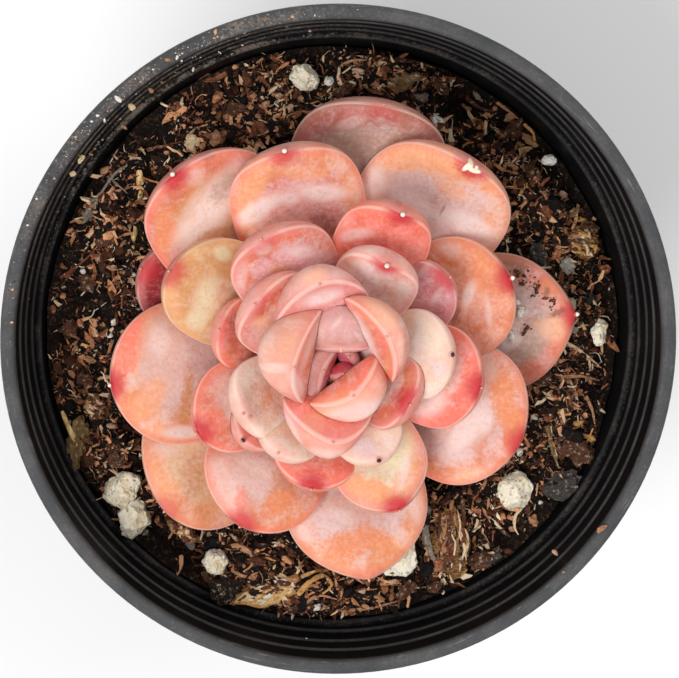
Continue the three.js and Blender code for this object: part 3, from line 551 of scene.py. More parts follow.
# Mounds and hollows of the mix: place, radius and rise in millimetres
HEAPS = [
    (24.0, 22.5, 4.5, 2.8), (27.5, 16.0, 3.5, 1.8), (32.0, 9.0, 3.0, 1.0), (30.5, -9.0, 4.5, 1.8),
    (24.5, -30.5, 3.6, -3.0), (-21.5, -31.5, 3.6, -3.0), (-2.0, -35.0, 6.0, 1.8), (-12.0, -32.0, 4.0, 1.4),
    (16.0, -29.0, 4.0, 1.4), (-11.0, 28.5, 4.0, 1.8), (5.5, 34.5, 5.0, 1.8), (34.5, 0.5, 2.5, 0.8),
    (-30.0, -13.0, 4.0, 1.4), (-34.0, 4.0, 3.0, -1.8), (-25.5, 27.5, 3.4, -2.6), (17.0, 31.0, 3.2, -3.0),
    (-19.5, 28.0, 3.0, 1.2), (12.0, -37.5, 3.0, -2.0), (-30.5, 17.0, 4.0, 1.4), (33.5, -18.0, 3.2, -2.0),
    (25.5, 30.0, 3.6, -3.2), (30.0, 25.0, 3.6, -3.2), (34.0, 19.0, 3.4, -3.0), (37.5, 12.0, 3.0, -3.0),
    (39.0, 4.0, 3.0, -2.6), (39.5, -6.0, 3.0, -2.6), (37.0, -15.0, 3.0, -2.4), (30.0, -25.5, 3.4, -2.4),
    (-27.5, -28.5, 3.0, -2.4), (-36.5, -13.0, 2.4, -1.6), (-38.5, 0.0, 2.6, -2.2), (-33.0, 21.5, 3.0, -1.8),
    (-4.0, 38.5, 3.4, -2.0), (-19.0, 34.0, 3.0, -2.0),
]

# Crumbs on the leaf that points right: tone, place, length, breadth and height in millimetres, and turn
LEAF_BITS = [
    ("umber", 24.6, 8.6, 1.3, 0.5, 0.4, 40), ("umber", 27.2, 6.4, 1.1, 0.4, 0.4, 120),
    ("umber", 29.4, 4.8, 1.0, 0.5, 0.4, 70), ("russet", 28.2, 5.1, 0.9, 0.35, 0.3, 20),
    ("bone", 24.9, 3.4, 1.5, 1.2, 1.0, 60), ("bone", 24.5, 4.6, 0.9, 0.8, 0.7, 0),
    ("bone", 23.8, 0.0, 1.6, 1.0, 0.8, 50), ("umber", 25.4, 0.4, 1.8, 0.6, 0.5, 40),
]

# Where finer crumbs gather on it: place, spread and how many
LEAF_DUST = [
    (25.0, 8.2, 1.1, 26), (27.0, 6.4, 1.0, 22), (29.2, 4.6, 0.9, 26), (26.2, 7.4, 1.2, 16),
    (25.2, 1.0, 1.0, 12),
]

# Bits on the lip and the ridges: tone, place and size in millimetres
LIP_BITS = [
    ("bone", -29.1, 32.8, 76.0, 1.1), ("bone", -21.3, 38.1, 76.0, 0.9), ("bone", -20.7, 37.6, 75.9, 0.6),
    ("bone", -19.5, 36.4, 65.5, 0.9), ("shell", -16.3, 41.3, 75.9, 1.0), ("bone", -15.9, 38.8, 68.6, 0.8),
    ("bone", -3.3, 43.5, 76.0, 0.7), ("cream", -34.6, 25.0, 71.5, 1.6), ("cream", -27.8, 31.6, 68.6, 1.3),
    ("cream", -35.8, 22.8, 70.0, 1.2), ("tan", 35.3, -24.9, 75.9, 1.9), ("tan", 30.1, -31.0, 75.9, 1.3),
    ("shell", 30.0, -29.9, 70.6, 1.0), ("bone", -4.4, -41.9, 68.8, 0.5), ("tan", -29.1, 28.7, 65.4, 1.1),
    ("shell", -32.3, 26.9, 68.7, 0.9), ("tan", -25.1, 33.8, 68.8, 1.0), ("grey", -12.4, 41.2, 75.7, 0.8),
    ("umber", -23.7, 34.9, 68.8, 0.9), ("bone", -30.8, 29.9, 75.6, 0.7), ("tan", -33.4, 25.2, 68.7, 0.8),
]
LIP_LEDGES = [(43.9, 76.0), (44.2, 76.0), (42.7, 71.3), (42.2, 68.6), (41.6, 65.6), (43.6, 76.0)]
# The larger a loose bit is, in millimetres, the finer its mesh
COARSE_BIT = 1.8
FINE_BIT = 0.6
# Most scattered shapes are small: their size follows a random number to this power
SIZE_POWER = 2.2
FULL_TURN = 6.283
# Grains at the lip's back left: the least, the greatest and the likeliest bearing, and their tones
LIP_GRAIN_BEARINGS = (85, 185, 132)
LIP_GRAIN_TONES = ("tan", "umber", "grey", "bone", "shell", "umber")
LEAF_DUST_TONES = ("umber", "russet", "tan", "umber", "soot")

# Fibres on each chip: how many, their radius and swing in millimetres, and their tones
SPLINTERS = {
    "bark_chip_1": (90, 0.3, 0.8, ("gold", "cream", "straw", "cream", "straw", "umber", "bone")),
    "bark_chip_2": (40, 0.28, 0.3, ("moss", "gold", "tan", "straw", "umber", "cream")),
    "bark_chip_3": (44, 0.2, 0.25, ("umber", "tan", "russet", "soot", "cream")),
    "bark_chip_4": (26, 0.26, 0.3, ("cream", "umber", "tan", "shell")),
    "bark_chip_5": (44, 0.34, 0.6, ("gold", "tan", "straw", "cream", "russet")),
}

# Straws: radius and the places that they run through, in millimetres
STRAWS = {
    "straw_1": (0.45, [(-37.8, -10.6), (-36, -14.5), (-33.9, -16.7), (-32.4, -17.6)]),
    "straw_2": (0.65, [(-26.9, 22.4), (-26.8, 19.6), (-27.4, 16.6), (-27.8, 12.5)]),
}


class Value:
    """A node's output. Arithmetic on it adds the Math nodes that work it out."""

    def __init__(self, graph, socket):
        self.graph = graph
        self.socket = socket

    def math(self, operation, *others):
        return self.graph.add("ShaderNodeMath", [self, *others], operation=operation)

    def __add__(self, other):
        return self.math("ADD", other)

    __radd__ = __add__

    def __mul__(self, other):
        return self.math("MULTIPLY", other)

    __rmul__ = __mul__

    def __sub__(self, other):
        return self.math("SUBTRACT", other)

    def __rsub__(self, other):
        return self.graph.add("ShaderNodeMath", [other, self], operation="SUBTRACT")

    def __truediv__(self, other):
        return self.math("DIVIDE", other)

    def __rtruediv__(self, other):
        return self.graph.add("ShaderNodeMath", [other, self], operation="DIVIDE")

    def __pow__(self, other):
        return self.math("POWER", other)

    def absolute(self):
        return self.math("ABSOLUTE")

    def part(self, axis):
        """One number of a vector: 0, 1 or 2."""
        return self.graph.add("ShaderNodeSeparateXYZ", [self], output=axis)


class Graph:
    """A node tree that is written as expressions."""

    def __init__(self, tree):
        self.tree = tree

    def add(self, kind, values=(), output=0, stops=None, **settings):
        """Adds a node. Its settings are set first, then the values or links of its sockets."""
        node = self.tree.nodes.new(kind)
        for name, value in settings.items():
            setattr(node, name, value)
        if stops:
            points = node.color_ramp.elements
            while len(points) < len(stops):
                points.new(1.0)
            for point, (position, colour) in zip(points, stops):
                point.position = position
                point.color = colour
        pairs = values.items() if isinstance(values, dict) else enumerate(values)
        for key, value in pairs:
            if isinstance(value, Value):
                self.tree.links.new(value.socket, node.inputs[key])
            else:
                node.inputs[key].default_value = value
        return Value(self, node.outputs[output])


class Finish(Graph):
    """One material: a Principled shader and the nodes that feed it."""

    def __init__(self, name, **constants):
        self.material = bpy.data.materials.new(name)
        self.material.use_nodes = True
        super().__init__(self.material.node_tree)
        self.tree.nodes.clear()
        self.shader = self.tree.nodes.new("ShaderNodeBsdfPrincipled")
        output = self.tree.nodes.new("ShaderNodeOutputMaterial")
        self.tree.links.new(self.shader.outputs[0], output.inputs[0])
        for socket, value in constants.items():
            self.shader.inputs[socket.replace("_", " ")].default_value = value

    def place(self):
        """Object coordinates, in metres."""
        return self.add("ShaderNodeTexCoord", output=3)

    def uv(self, name):
        return self.add("ShaderNodeUVMap", uv_map=name)

    def attribute(self, name):
        return self.add("ShaderNodeAttribute", output=2, attribute_name=name)

    def upward(self):
        """How far the surface faces up, from -1 to 1."""
        return self.add("ShaderNodeNewGeometry", output=1).part(2)

    def noise(self, place, size, detail=3.0, roughness=0.55, distortion=0.0):
        """Cloudy noise whose features are about size metres across."""
        values = {"Vector": place, "Scale": 1 / size, "Detail": detail, "Roughness": roughness,
                  "Distortion": distortion}
        return self.add("ShaderNodeTexNoise", values)

    def cells(self, place, size, feature="F1"):
        values = {"Vector": place, "Scale": 1 / size}
        return self.add("ShaderNodeTexVoronoi", values, feature=feature)

    def smooth(self, value, low, high):
        """0 below low, 1 above high, and a smooth step between; low may be the larger."""
        values = {0: value, 1: low, 2: high, 3: 0.0, 4: 1.0}
        return self.add("ShaderNodeMapRange", values, interpolation_type="SMOOTHSTEP")

    def mix(self, share, first, second, blend="MIX"):
        values = {0: share, 6: first, 7: second}
        return self.add("ShaderNodeMix", values, output=2, data_type="RGBA", blend_type=blend)

    def ramp(self, value, *stops):
        return self.add("ShaderNodeValToRGB", [value], stops=[(at, tone(name)) for at, name in stops])

    def stretch(self, place, scale, turn=0.0):
        """Coordinates turned about Z and then scaled, so that noise on them runs one way."""
        values = {"Vector": place, "Rotation": (0.0, 0.0, turn), "Scale": scale}
        return self.add("ShaderNodeMapping", values)

    def distance(self, place, point):
        return self.add("ShaderNodeVectorMath", {0: place, 1: point}, output=1, operation="DISTANCE")

    def oval(self, place, centre, radii, turn):
        """How far out a point lies in an upright oval tube, whose outline is at 1; millimetres."""
        values = {
            "Vector": place,
            "Location": (centre[0] * MM, centre[1] * MM, 0.0),
            "Rotation": (0.0, 0.0, math.radians(turn)),
            "Scale": (radii[0] * MM, radii[1] * MM, 100.0),
        }
        local = self.add("ShaderNodeMapping", values, vector_type="TEXTURE")
        return self.add("ShaderNodeVectorMath", [local], output=1, operation="LENGTH")

    def vector(self, x, y, z=0.0):
        return self.add("ShaderNodeCombineXYZ", [x, y, z])

    def paint(self, colour=None, roughness=None, height=None, depth=0.0002, strength=0.5):
        """Feeds the shader; height is bumped by depth metres."""
        if colour is not None:
            self.tree.links.new(colour.socket, self.shader.inputs["Base Color"])
        if roughness is not None:
            self.tree.links.new(roughness.socket, self.shader.inputs["Roughness"])
        if height is not None:
            bump = self.add("ShaderNodeBump", {"Strength": strength, "Distance": depth, "Height": height})
            self.tree.links.new(bump.socket, self.shader.inputs["Normal"])
        return self.material


def new_piece(name, points, faces, material=None):
    """An object from points in millimetres and faces as tuples of point numbers."""
    mesh = bpy.data.meshes.new(name)
    mesh.from_pydata((np.asarray(points, float) * MM).tolist(), [], faces)
    mesh.update()
    if material:
        mesh.materials.append(material)
    piece = bpy.data.objects.new(name, mesh)
    bpy.context.scene.collection.objects.link(piece)
    return piece


def shade(mesh, degrees=40.0):
    """Smooth faces, with a sharp edge wherever two of them meet at more than that angle."""
    mesh.shade_smooth()
    mesh.set_sharp_from_angle(angle=math.radians(degrees))


def applied(piece, name=None):
    """The piece's mesh with its modifiers applied, as a plain mesh that replaces its own."""
    depsgraph = bpy.context.evaluated_depsgraph_get()
    mesh = bpy.data.meshes.new_from_object(piece.evaluated_get(depsgraph), depsgraph=depsgraph)
    piece.modifiers.clear()
    old = piece.data
    piece.data = mesh
    mesh.name = name or old.name
    return mesh


def settle(piece, slot, *nodes):
    """Makes a finished piece part of the object and, where it stands for CAD nodes, replaces them."""
    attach(piece, BODY)
    if nodes:
        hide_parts(*nodes)
    return piece


def remove(*pieces):
    for piece in pieces:
        bpy.data.objects.remove(piece)


def ring_faces(rings, sides):
    """Faces between rings of points that follow the first point, and fans to both end points."""
    last = 1 + rings * sides
    faces = []
    for side in range(sides):
        after = (side + 1) % sides
        faces.append((0, 1 + after, 1 + side))
        faces.append((last, last - sides + side, last - sides + after))
        for ring in range(rings - 1):
            low = 1 + ring * sides
            high = low + sides
            faces.append((low + side, low + after, high + after, high + side))
    return faces


def lathe(name, section, sectors, material=None):
    """Turns a section of (radius, height) that starts and ends on the axis."""
    angles = np.arange(sectors) / sectors * 2 * math.pi
    inner = np.array(section[1:-1], float)
    x = inner[:, :1] * np.cos(angles)
    y = inner[:, :1] * np.sin(angles)
    z = np.repeat(inner[:, 1:], sectors, axis=1)
    rings = np.stack([x, y, z], -1).reshape(-1, 3)
    points = np.vstack([[0, 0, section[0][1]], rings, [0, 0, section[-1][1]]])
    return new_piece(name, points, ring_faces(len(inner), sectors), material)


def rounded(section, steps=4):
    """A section whose corners (radius, height, fillet) are turned to arcs of a few points."""
    points = [section[0][:2]]
    for before, corner, after in zip(section, section[1:], section[2:]):
        here = np.array(corner[:2], float)
        fillet = corner[2] if len(corner) > 2 else 0
        if not fillet:
            points.append(tuple(here))
            continue
        ways = []
        for other in (before, after):
            way = np.array(other[:2], float) - here
            ways.append(way / np.linalg.norm(way) * min(fillet, np.linalg.norm(way) * 0.45))
        for step in range(steps + 1):
            share = step / steps
            bend = (1 - share) ** 2 * ways[0] + share ** 2 * ways[1]
            points.append(tuple(here + bend))
    points.append(section[-1][:2])
    return points


def wall_radius(height):
    """Inner radius of the pot's wall below its shoulder, in millimetres."""
    low = (BASE_RADIUS - 1, FLOOR_TOP + 0.6)
    high = (SHOULDER_RADIUS, POT_HEIGHT - SHOULDER_DROP)
    return low[0] + (high[0] - low[0]) * (height - low[1]) / (high[1] - low[1])


def soil_height(x, y):
    """Height of the mix before its clods, in millimetres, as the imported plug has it."""
    wave = (np.sin(0.31 * x + 1.7) * np.cos(0.27 * y - 0.6)
            + 0.7 * np.sin(0.53 * x - 0.41 * y + 0.9)
            + 0.5 * np.sin(0.83 * y + 0.37 * x))
    fall = SOIL_FALL * (x * x + y * y) / SHOULDER_RADIUS ** 2 + SOIL_SLOPE_X * x + SOIL_SLOPE_Y * y
    return SOIL_LEVEL - fall + SOIL_BUMP * wave


def rosette_matrix():
    """From the rosette's own frame, with Z along the stem, to the part's frame, in millimetres."""
    side = Matrix.Rotation(math.radians(LEAN_TO_SIDE), 4, "Y")
    front = Matrix.Rotation(math.radians(LEAN_TO_FRONT), 4, "X")
    twist = Matrix.Rotation(math.radians(TWIST), 4, "Z")
    return Matrix.Translation(ROSETTE_PLACE) @ side @ front @ twist @ Matrix.Scale(ROSETTE_SIZE, 4)


def unit(angle):
    return np.array([math.cos(angle), math.sin(angle)])


def midrib(leaf, order, along):
    """Points and directions (outward, upward) of a leaf's midrib, a cubic curve."""
    foot = np.array([leaf["foot"], YOUNGEST_FOOT - FOOT_STEP * order])
    tip = np.array([leaf["reach"], leaf["rise"]])
    handle = np.linalg.norm(tip - foot) / 3 * leaf["bow"]
    leaving = foot + unit(math.radians(leaf["start"])) * handle
    arriving = tip - unit(math.radians(leaf["end"])) * handle
    t = along[:, None]
    point = ((1 - t) ** 3 * foot + 3 * (1 - t) ** 2 * t * leaving
             + 3 * (1 - t) * t ** 2 * arriving + t ** 3 * tip)
    direction = ((1 - t) ** 2 * (leaving - foot) + 2 * (1 - t) * t * (arriving - leaving)
                 + t ** 2 * (tip - arriving))
    return point, direction / np.linalg.norm(direction, axis=1)[:, None]


def fullness(leaf, along):
    """How full a leaf is along its length: it swells from the neck and closes at the tip."""
    grow = np.clip(along / leaf["wide"], 0, 1)
    close = np.clip((along - leaf["wide"]) / (1 - leaf["wide"]), 0, 1)
    neck = LEAF_NECK + (1 - LEAF_NECK) * np.sin(grow * math.pi / 2) ** NECK_POWER
    root = LEAF_ROOT_DEPTH + (1 - LEAF_ROOT_DEPTH) * grow ** 2
    breadth = np.where(close > 0, (1 - close ** BREADTH_POWER) ** leaf["blunt"], neck)
    depth = np.where(close > 0, np.sqrt(1 - close ** DEPTH_POWER), root)
    return close, breadth, depth


def unevenness(draw, across, along):
    """The slow swell of a grown surface, between about -1 and 1."""
    total = np.zeros(np.broadcast(across, along).shape)
    for turns_across, turns_along in ((1.7, 2.3), (3.1, -2.9), (-2.3, 5.3)):
        phase = draw.uniform(0, 2 * math.pi)
        total = total + np.sin(turns_across * across + turns_along * along * 2 + phase) / 3
    return total


def edge_distance(leaf, order, x, along):
    """How far points on a leaf lie inside its outline, in millimetres, on the blade laid flat."""
    steps = 1 - (1 - np.linspace(0, 1, OUTLINE_STEPS)) ** 4
    point, _ = midrib(leaf, order, steps)
    length = np.concatenate([[0], np.cumsum(np.hypot(*np.diff(point, axis=0).T))])
    half = leaf["width"] / 2 * fullness(leaf, steps)[1]
    outline_x = np.concatenate([half, -half])
    outline_y = np.concatenate([length, length])
    y = np.interp(along, steps, length)
    away = np.hypot(x[:, None] - outline_x, y[:, None] - outline_y)
    return away.min(1)


def leaf_axis(leaf, order, stations):
    """A leaf's stations along its midrib: shares, centres, the ways that its face and its tip
    point, and how full it is there."""
    along = np.sin(np.linspace(0, 1, stations) * math.pi / 2) ** SPACING_POWER
    along[-1] = 1.0
    point, direction = midrib(leaf, order, along)
    close, breadth, depth = fullness(leaf, along)
    turn = math.radians(leaf["turn"])
    outward = np.array([math.cos(turn), math.sin(turn), 0])
    sideways = np.array([-math.sin(turn), math.cos(turn), 0])
    upright = np.array([0, 0, 1])
    onward = direction[-1, 0] * outward + direction[-1, 1] * upright
    face = -direction[:, 1:] * outward + direction[:, :1] * upright
    centre = point[:, :1] * outward + point[:, 1:] * upright
    centre = centre + (leaf["slant"] * along ** 2 + leaf["shift"] * close ** 2)[:, None] * sideways
    centre = centre + leaf["lift"] * leaf["top"] * (close ** 2)[:, None] * face
    reach = np.linalg.norm(point[-1] - point[0])
    return along, centre, face, onward, sideways, breadth, depth, reach


def leaf_skin(leaf, order, stations, sides, extra=0.0):
    """A leaf's closed skin in the part's frame, in millimetres: its points, its faces, and for
    each point how far across and along it lies, which way it faces and how far inside the
    outline it is. Extra makes it that much larger."""
    along, centre, face, onward, sideways, breadth, depth, reach = leaf_axis(leaf, order, stations)
    point_radius, point_length, _ = POINTS[leaf["point"]]
    nub = np.array(NUB_STEPS)
    body = slice(0, stations - 1)
    centres = np.vstack([centre[body], centre[-1] + (nub * (point_length + extra))[:, None] * onward])
    faces_way = np.vstack([face[body], np.repeat(face[-1:], len(nub), axis=0)])
    half = leaf["width"] / 2
    nub_radius = (point_radius + extra) * np.sqrt(np.clip(1 - nub ** 2, 0.02, 1))
    angle = np.arange(sides) / sides * 2 * math.pi
    cosine = np.cos(angle)
    climb = np.sin(angle)
    share = np.concatenate([along[body], np.ones(len(nub))])
    uneven = unevenness(random.Random(order), cosine[None, :], share[:, None])
    calm = np.concatenate([np.sqrt(breadth[body] * depth[body]), np.zeros(len(nub))])[:, None]
    wide = np.concatenate([half * breadth[body] + extra, nub_radius])[:, None]
    swell = extra * np.sqrt(np.abs(climb))
    over = leaf["top"] * depth[body, None] * np.abs(climb) ** leaf["keen"] + swell
    under = leaf["belly"] * depth[body, None] * np.abs(climb) ** leaf["keel"] + swell
    thick = np.vstack([np.where(climb > 0, over, -under), nub_radius[:, None] * climb])
    x = wide * cosine * (1 + UNEVEN_BREADTH * uneven * calm)
    y = thick + UNEVEN_HEIGHT * uneven * calm * np.abs(climb)
    bend = leaf["cup"] / half
    sweep = bend * x
    places = (centres[:, None, :]
              + (np.sin(sweep) / bend - y * np.sin(sweep))[..., None] * sideways
              + ((1 - np.cos(sweep)) / bend + y * np.cos(sweep))[..., None] * faces_way[:, None, :])
    rings = len(share)
    end = centres[-1] + 0.02 * onward
    points = np.vstack([places[0].mean(0), places.reshape(-1, 3), end])
    lean = np.array(rosette_matrix())
    points = points @ lean[:3, :3].T + lean[:3, 3]
    upside = np.concatenate([[0], np.tile(climb, rings), [1]])
    length = np.concatenate([[0], np.repeat(share, sides), [1]])
    across = np.concatenate([[0], x.ravel(), [0]])
    off_middle = np.concatenate([[0], np.abs(y).ravel(), [0]])
    edge = np.minimum(np.hypot(edge_distance(leaf, order, across, length), 0.8 * off_middle), DEEPEST_EDGE)
    skin = {"across": across / half, "along": length, "run": length * reach / half,
            "upside": upside, "edge": edge / DEEPEST_EDGE}
    return points, ring_faces(rings, sides), skin


def add_uv(mesh, name, first, second):
    """A UV map from two numbers for each point."""
    corners = np.empty(len(mesh.loops), int)
    mesh.loops.foreach_get("vertex_index", corners)
    layer = mesh.uv_layers.new(name=name)
    layer.data.foreach_set("uv", np.stack([first[corners], second[corners]], -1).ravel())


def keep_largest(mesh):
    """Drops every loose scrap but the largest body of a mesh."""
    work = bmesh.new()
    work.from_mesh(mesh)
    seen = set()
    bodies = []
    for start in work.verts:
        if start in seen:
            continue
        seen.add(start)
        body = [start]
        for vertex in body:
            for edge in vertex.link_edges:
                other = edge.other_vert(vertex)
                if other not in seen:
                    seen.add(other)
                    body.append(other)
        bodies.append(body)
    largest = max(bodies, key=len)
    for body in bodies:
        if body is not largest:
            bmesh.ops.delete(work, geom=body, context="VERTS")
    work.to_mesh(mesh)
    work.free()


def painted_marks(skin, colour, leaf, place, ragged, scabs):
    """A colour under the leaf's own patches, or under its scabs, which are sharper."""
    for name, strength, x, y, long, short, turn in MARKS.get(leaf["name"], []):
        if scabs != (name == "scab"):
            continue
        if scabs:
            reach = skin.oval(place, (x, y), (long, short), turn) + ragged * 0.4
            share = skin.smooth(reach, 1.3, 0.8) * strength
        else:
            reach = skin.oval(place, (x, y), (long, max(short, long / 3)), turn) + ragged * 1.3
            powdery = POWDER_MARK if name in ("milk", "lilac") else 1.0
            share = skin.smooth(reach, 1.4, 0.5) * (strength * powdery)
        colour = skin.mix(share, colour, tone(name))
    return colour


def leaf_finish(leaf, tip, settings):
    """Waxy skin: a warm body, a pale powdery bloom in clouds, a redder margin, a thin pale rim that is
    partly the leaf's clear edge and partly a painted highlight, and a spot round the point, with the
    patches that this leaf shows."""
    skin = Finish(
        leaf["name"] + "_skin",
        Subsurface_Weight=settings.glow,
        Subsurface_Radius=(1.0, 0.35, 0.2),
        Subsurface_Scale=0.0018,
        Specular_IOR_Level=0.4,
    )
    place = skin.place()
    spot = skin.uv("leaf")
    along = spot.part(1)
    side = skin.uv("side")
    edge = side.part(1) * DEEPEST_EDGE
    cloud = skin.noise(place, 0.0042, detail=6.0, roughness=0.62, distortion=0.7)
    fleck = skin.noise(place, 0.0006, detail=4.0, roughness=0.7)
    lengthwise = skin.vector(spot.part(0) * 2.0, skin.uv("run").part(0) * 1.3, leaf["turn"])
    streak = skin.noise(lengthwise, 0.8, detail=5.0)
    ragged = (cloud - 0.5) * 1.3 + (fleck - 0.5) * 0.8 + (streak - 0.5) * 0.7

    # The body turns from the first tone to the second towards the margin
    first, second, third = (tone(name) for name in leaf["tones"])
    wander = (cloud - 0.5) * 3.6 + (streak - 0.5) * 2.6
    band = skin.smooth(edge + wander, 4.8, 1.8) * skin.smooth(along, 0.3, 0.6)
    colour = skin.mix(band, first, second)
    colour = skin.mix(skin.smooth(streak, 0.6, 0.42) * 0.35, colour, tone("amber"), blend="MULTIPLY")

    # Powder lies in clouds, cracks into cells and is rubbed off in flecks
    cells = skin.cells(place, 0.0019, feature="DISTANCE_TO_EDGE")
    cracks = skin.smooth(cells + (fleck - 0.5) * 0.16, 0.05, 0.0)
    powder = skin.smooth(cloud * 0.55 + streak * 0.45 + edge * 0.018 - along * 0.16, 0.36, 0.47)
    powder = powder * (0.55 + fleck * 0.8) * (1 - cracks * 0.5)
    colour = skin.mix(powder * leaf["bloom"] * settings.bloom, colour, tuple(settings.bloom_tone) + (1.0,))
    colour = painted_marks(skin, colour, leaf, place, ragged, scabs=False)
    colour = skin.mix((fleck - 0.5) * 1.1, colour, tone("milk"))
    colour = skin.mix((0.5 - fleck) * 1.2, colour, tone("amber"), blend="MULTIPLY")

    # The margin takes the third tone, with a thin pale rim on its edge: partly the leaf's clear edge, partly
    # a painted highlight
    margin = skin.smooth(edge + ragged * 0.9, 1.5, 0.3)
    colour = skin.mix(margin * 0.5, colour, third)
    # Painted highlight, with the clear edge, along the margin
    rim = skin.smooth(edge + (fleck - 0.5) * 0.2, 0.3, 0.1)
    colour = skin.mix(rim * 0.45, colour, tone("rim"))

    # A red halo round the point, the scabs over it, and the point's own tone
    beside = skin.distance(place, tip)
    halo = skin.smooth(beside + ragged * 0.0008, 0.0035, 0.0011)
    colour = skin.mix(halo * leaf["blush"], colour, tone("red"))
    colour = painted_marks(skin, colour, leaf, place, ragged, scabs=True)
    radius, _, point_tone = POINTS[leaf["point"]]
    reach = radius * 1.5 * MM
    colour = skin.mix(skin.smooth(beside, reach, reach * 0.7), colour, tone(point_tone))
    colour = skin.mix(skin.smooth(side.part(0), 0.0, -0.5) * 0.4, colour, tone("blush"))
    roughness = 0.44 + powder * 0.2 + fleck * 0.16
    height = fleck * 0.45 + cloud * 0.35 + powder * 0.2
    return skin.paint(colour, roughness, height, depth=0.0003, strength=0.5)


def share_setting(name, description, default):
    return FloatProperty(
        name=name, description=description, default=default, min=0.0, max=1.0, subtype="FACTOR"
    )


def colour_setting(name, description, default):
    return FloatVectorProperty(
        name=name, description=description, default=default, size=3, min=0.0, max=1.0, subtype="COLOR"
    )


def amount_setting(name, description, default, unit="NONE"):
    return FloatProperty(name=name, description=description, default=default, min=0.0, unit=unit)


class EcheveriaLeafSettings(bpy.types.PropertyGroup):
    """What a user would change on the leaves."""

    bloom: share_setting("Bloom", "How much pale powder lies on the leaves", 0.7)
    bloom_tone: colour_setting("Bloom colour", "Colour of the pale powder", tone("lilac")[:3])
    glow: share_setting("Glow", "Share of the light that passes through the flesh of a leaf", 0.2)


class EcheveriaMixSettings(bpy.types.PropertyGroup):
    """What a user would change on the potting mix."""

    clods: amount_setting("Clods", "Number of clods on a square metre", 75000.0)
    crumbs: amount_setting("Crumbs", "Number of crumbs on a square metre", 1700000.0)
    shreds: amount_setting("Shreds", "Number of torn flakes on a square metre", 1400000.0)
    chips: amount_setting("Chips", "Number of pale chips on a square metre", 1350000.0)
    fibres: amount_setting("Fibres", "Number of fibres on a square metre", 300000.0)
    lip_grains: IntProperty(
        name="Lip grains", description="Number of grains on the pot's lip and ridges", default=320, min=0
    )
    seed: IntProperty(name="Seed", description="Seed of every random draw", default=7, min=0)


class EcheveriaPotSettings(bpy.types.PropertyGroup):
    """What a user would change on the pot."""

    plastic: colour_setting("Plastic colour", "Colour of the moulded pot", (0.0045, 0.0045, 0.005))
    dust: share_setting("Dust", "How much dust lies on the lip", 0.5)
    sectors: IntProperty(name="Sectors", description="Steps round the pot", default=150, min=24)


class EcheveriaStageSettings(bpy.types.PropertyGroup):
    """What a user would change on the stage."""

    floor: colour_setting("Floor colour", "Colour of the plain floor", (0.94, 0.94, 0.94))
    key_power: amount_setting("Key light", "Power of the large soft lamp", 3.55, unit="POWER")
    sky: amount_setting("Sky", "Strength of the even light all round", 0.52)


class EcheveriaSettings(bpy.types.PropertyGroup):
    """All the settings of the potted rosette."""

    leaf: PointerProperty(type=EcheveriaLeafSettings)
    mix: PointerProperty(type=EcheveriaMixSettings)
    pot: PointerProperty(type=EcheveriaPotSettings)
    stage: PointerProperty(type=EcheveriaStageSettings)


def add_camera(scene):
    """The photograph's camera: it looks down over the pot from a little behind and to the left."""
    to_left = math.tan(math.radians(CAMERA_TO_LEFT))
    to_back = math.tan(math.radians(CAMERA_TO_BACK))
    back = Vector((-to_left, to_back, 1))
    back.normalize()
    up = (Vector((0, 1, 0)) - back * back.y).normalized()
    right = up.cross(back)
    camera = bpy.data.cameras.new("photo_camera")
    camera.sensor_fit = "HORIZONTAL"
    camera.sensor_width = SENSOR_WIDTH
    seen_width = PHOTO_WIDTH / RIM_RADIUS_PX * RIM_RADIUS
    camera.lens = SENSOR_WIDTH * CAMERA_DISTANCE / seen_width
    camera.shift_x = (PHOTO_WIDTH / 2 - AXIS_PX[0]) / PHOTO_WIDTH
    camera.shift_y = (AXIS_PX[1] - PHOTO_HEIGHT / 2) / PHOTO_WIDTH
    camera.clip_start = 0.01
    holder = bpy.data.objects.new("photo_camera", camera)
    turn = Matrix((right, up, back)).transposed().to_4x4()
    holder.matrix_world = Matrix.Translation(Vector(CAMERA_PLACE) * MM) @ turn
    scene.collection.objects.link(holder)
    scene.camera = holder


def add_lamp(scene, name, place, power):
    """A round soft lamp that points at the top of the mix."""
    lamp = bpy.data.lights.new(name, "AREA")
    lamp.shape = "DISK"
    lamp.size = LAMP_SIZE * MM
    lamp.energy = power
    holder = bpy.data.objects.new(name, lamp)
    towards = Vector((0, 0, SOIL_LEVEL)) - Vector(place)
    turn = towards.to_track_quat("-Z", "Y").to_matrix().to_4x4()
    holder.matrix_world = Matrix.Translation(Vector(place) * MM) @ turn
    scene.collection.objects.link(holder)


class ECHEVERIA_OT_stage(bpy.types.Operator):
    """Adds the camera at the photograph's angle, the plain floor and the soft light"""

    bl_idname = "echeveria.stage"
    bl_label = "Stage and Camera"

    def execute(self, context):
        scene = context.scene
        settings = scene.echeveria.stage
        add_camera(scene)
        finish = Finish("floor_finish", Roughness=0.9, Base_Color=(*settings.floor, 1.0))
        wide = FLOOR_REACH
        corners = [(-wide, -wide, 0), (wide, -wide, 0), (wide, wide, 0), (-wide, wide, 0)]
        new_piece("floor", corners, [(0, 1, 2, 3)], finish.material)
        world = bpy.data.worlds.new("even_sky")
        world.use_nodes = True
        backdrop = world.node_tree.nodes["Background"]
        backdrop.inputs["Color"].default_value = (1.0, 1.0, 1.0, 1.0)
        backdrop.inputs["Strength"].default_value = settings.sky
        scene.world = world
        scene.view_settings.view_transform = "Standard"
        for name, (place, share) in LAMPS.items():
            add_lamp(scene, name, place, settings.key_power * share)
        return {"FINISHED"}


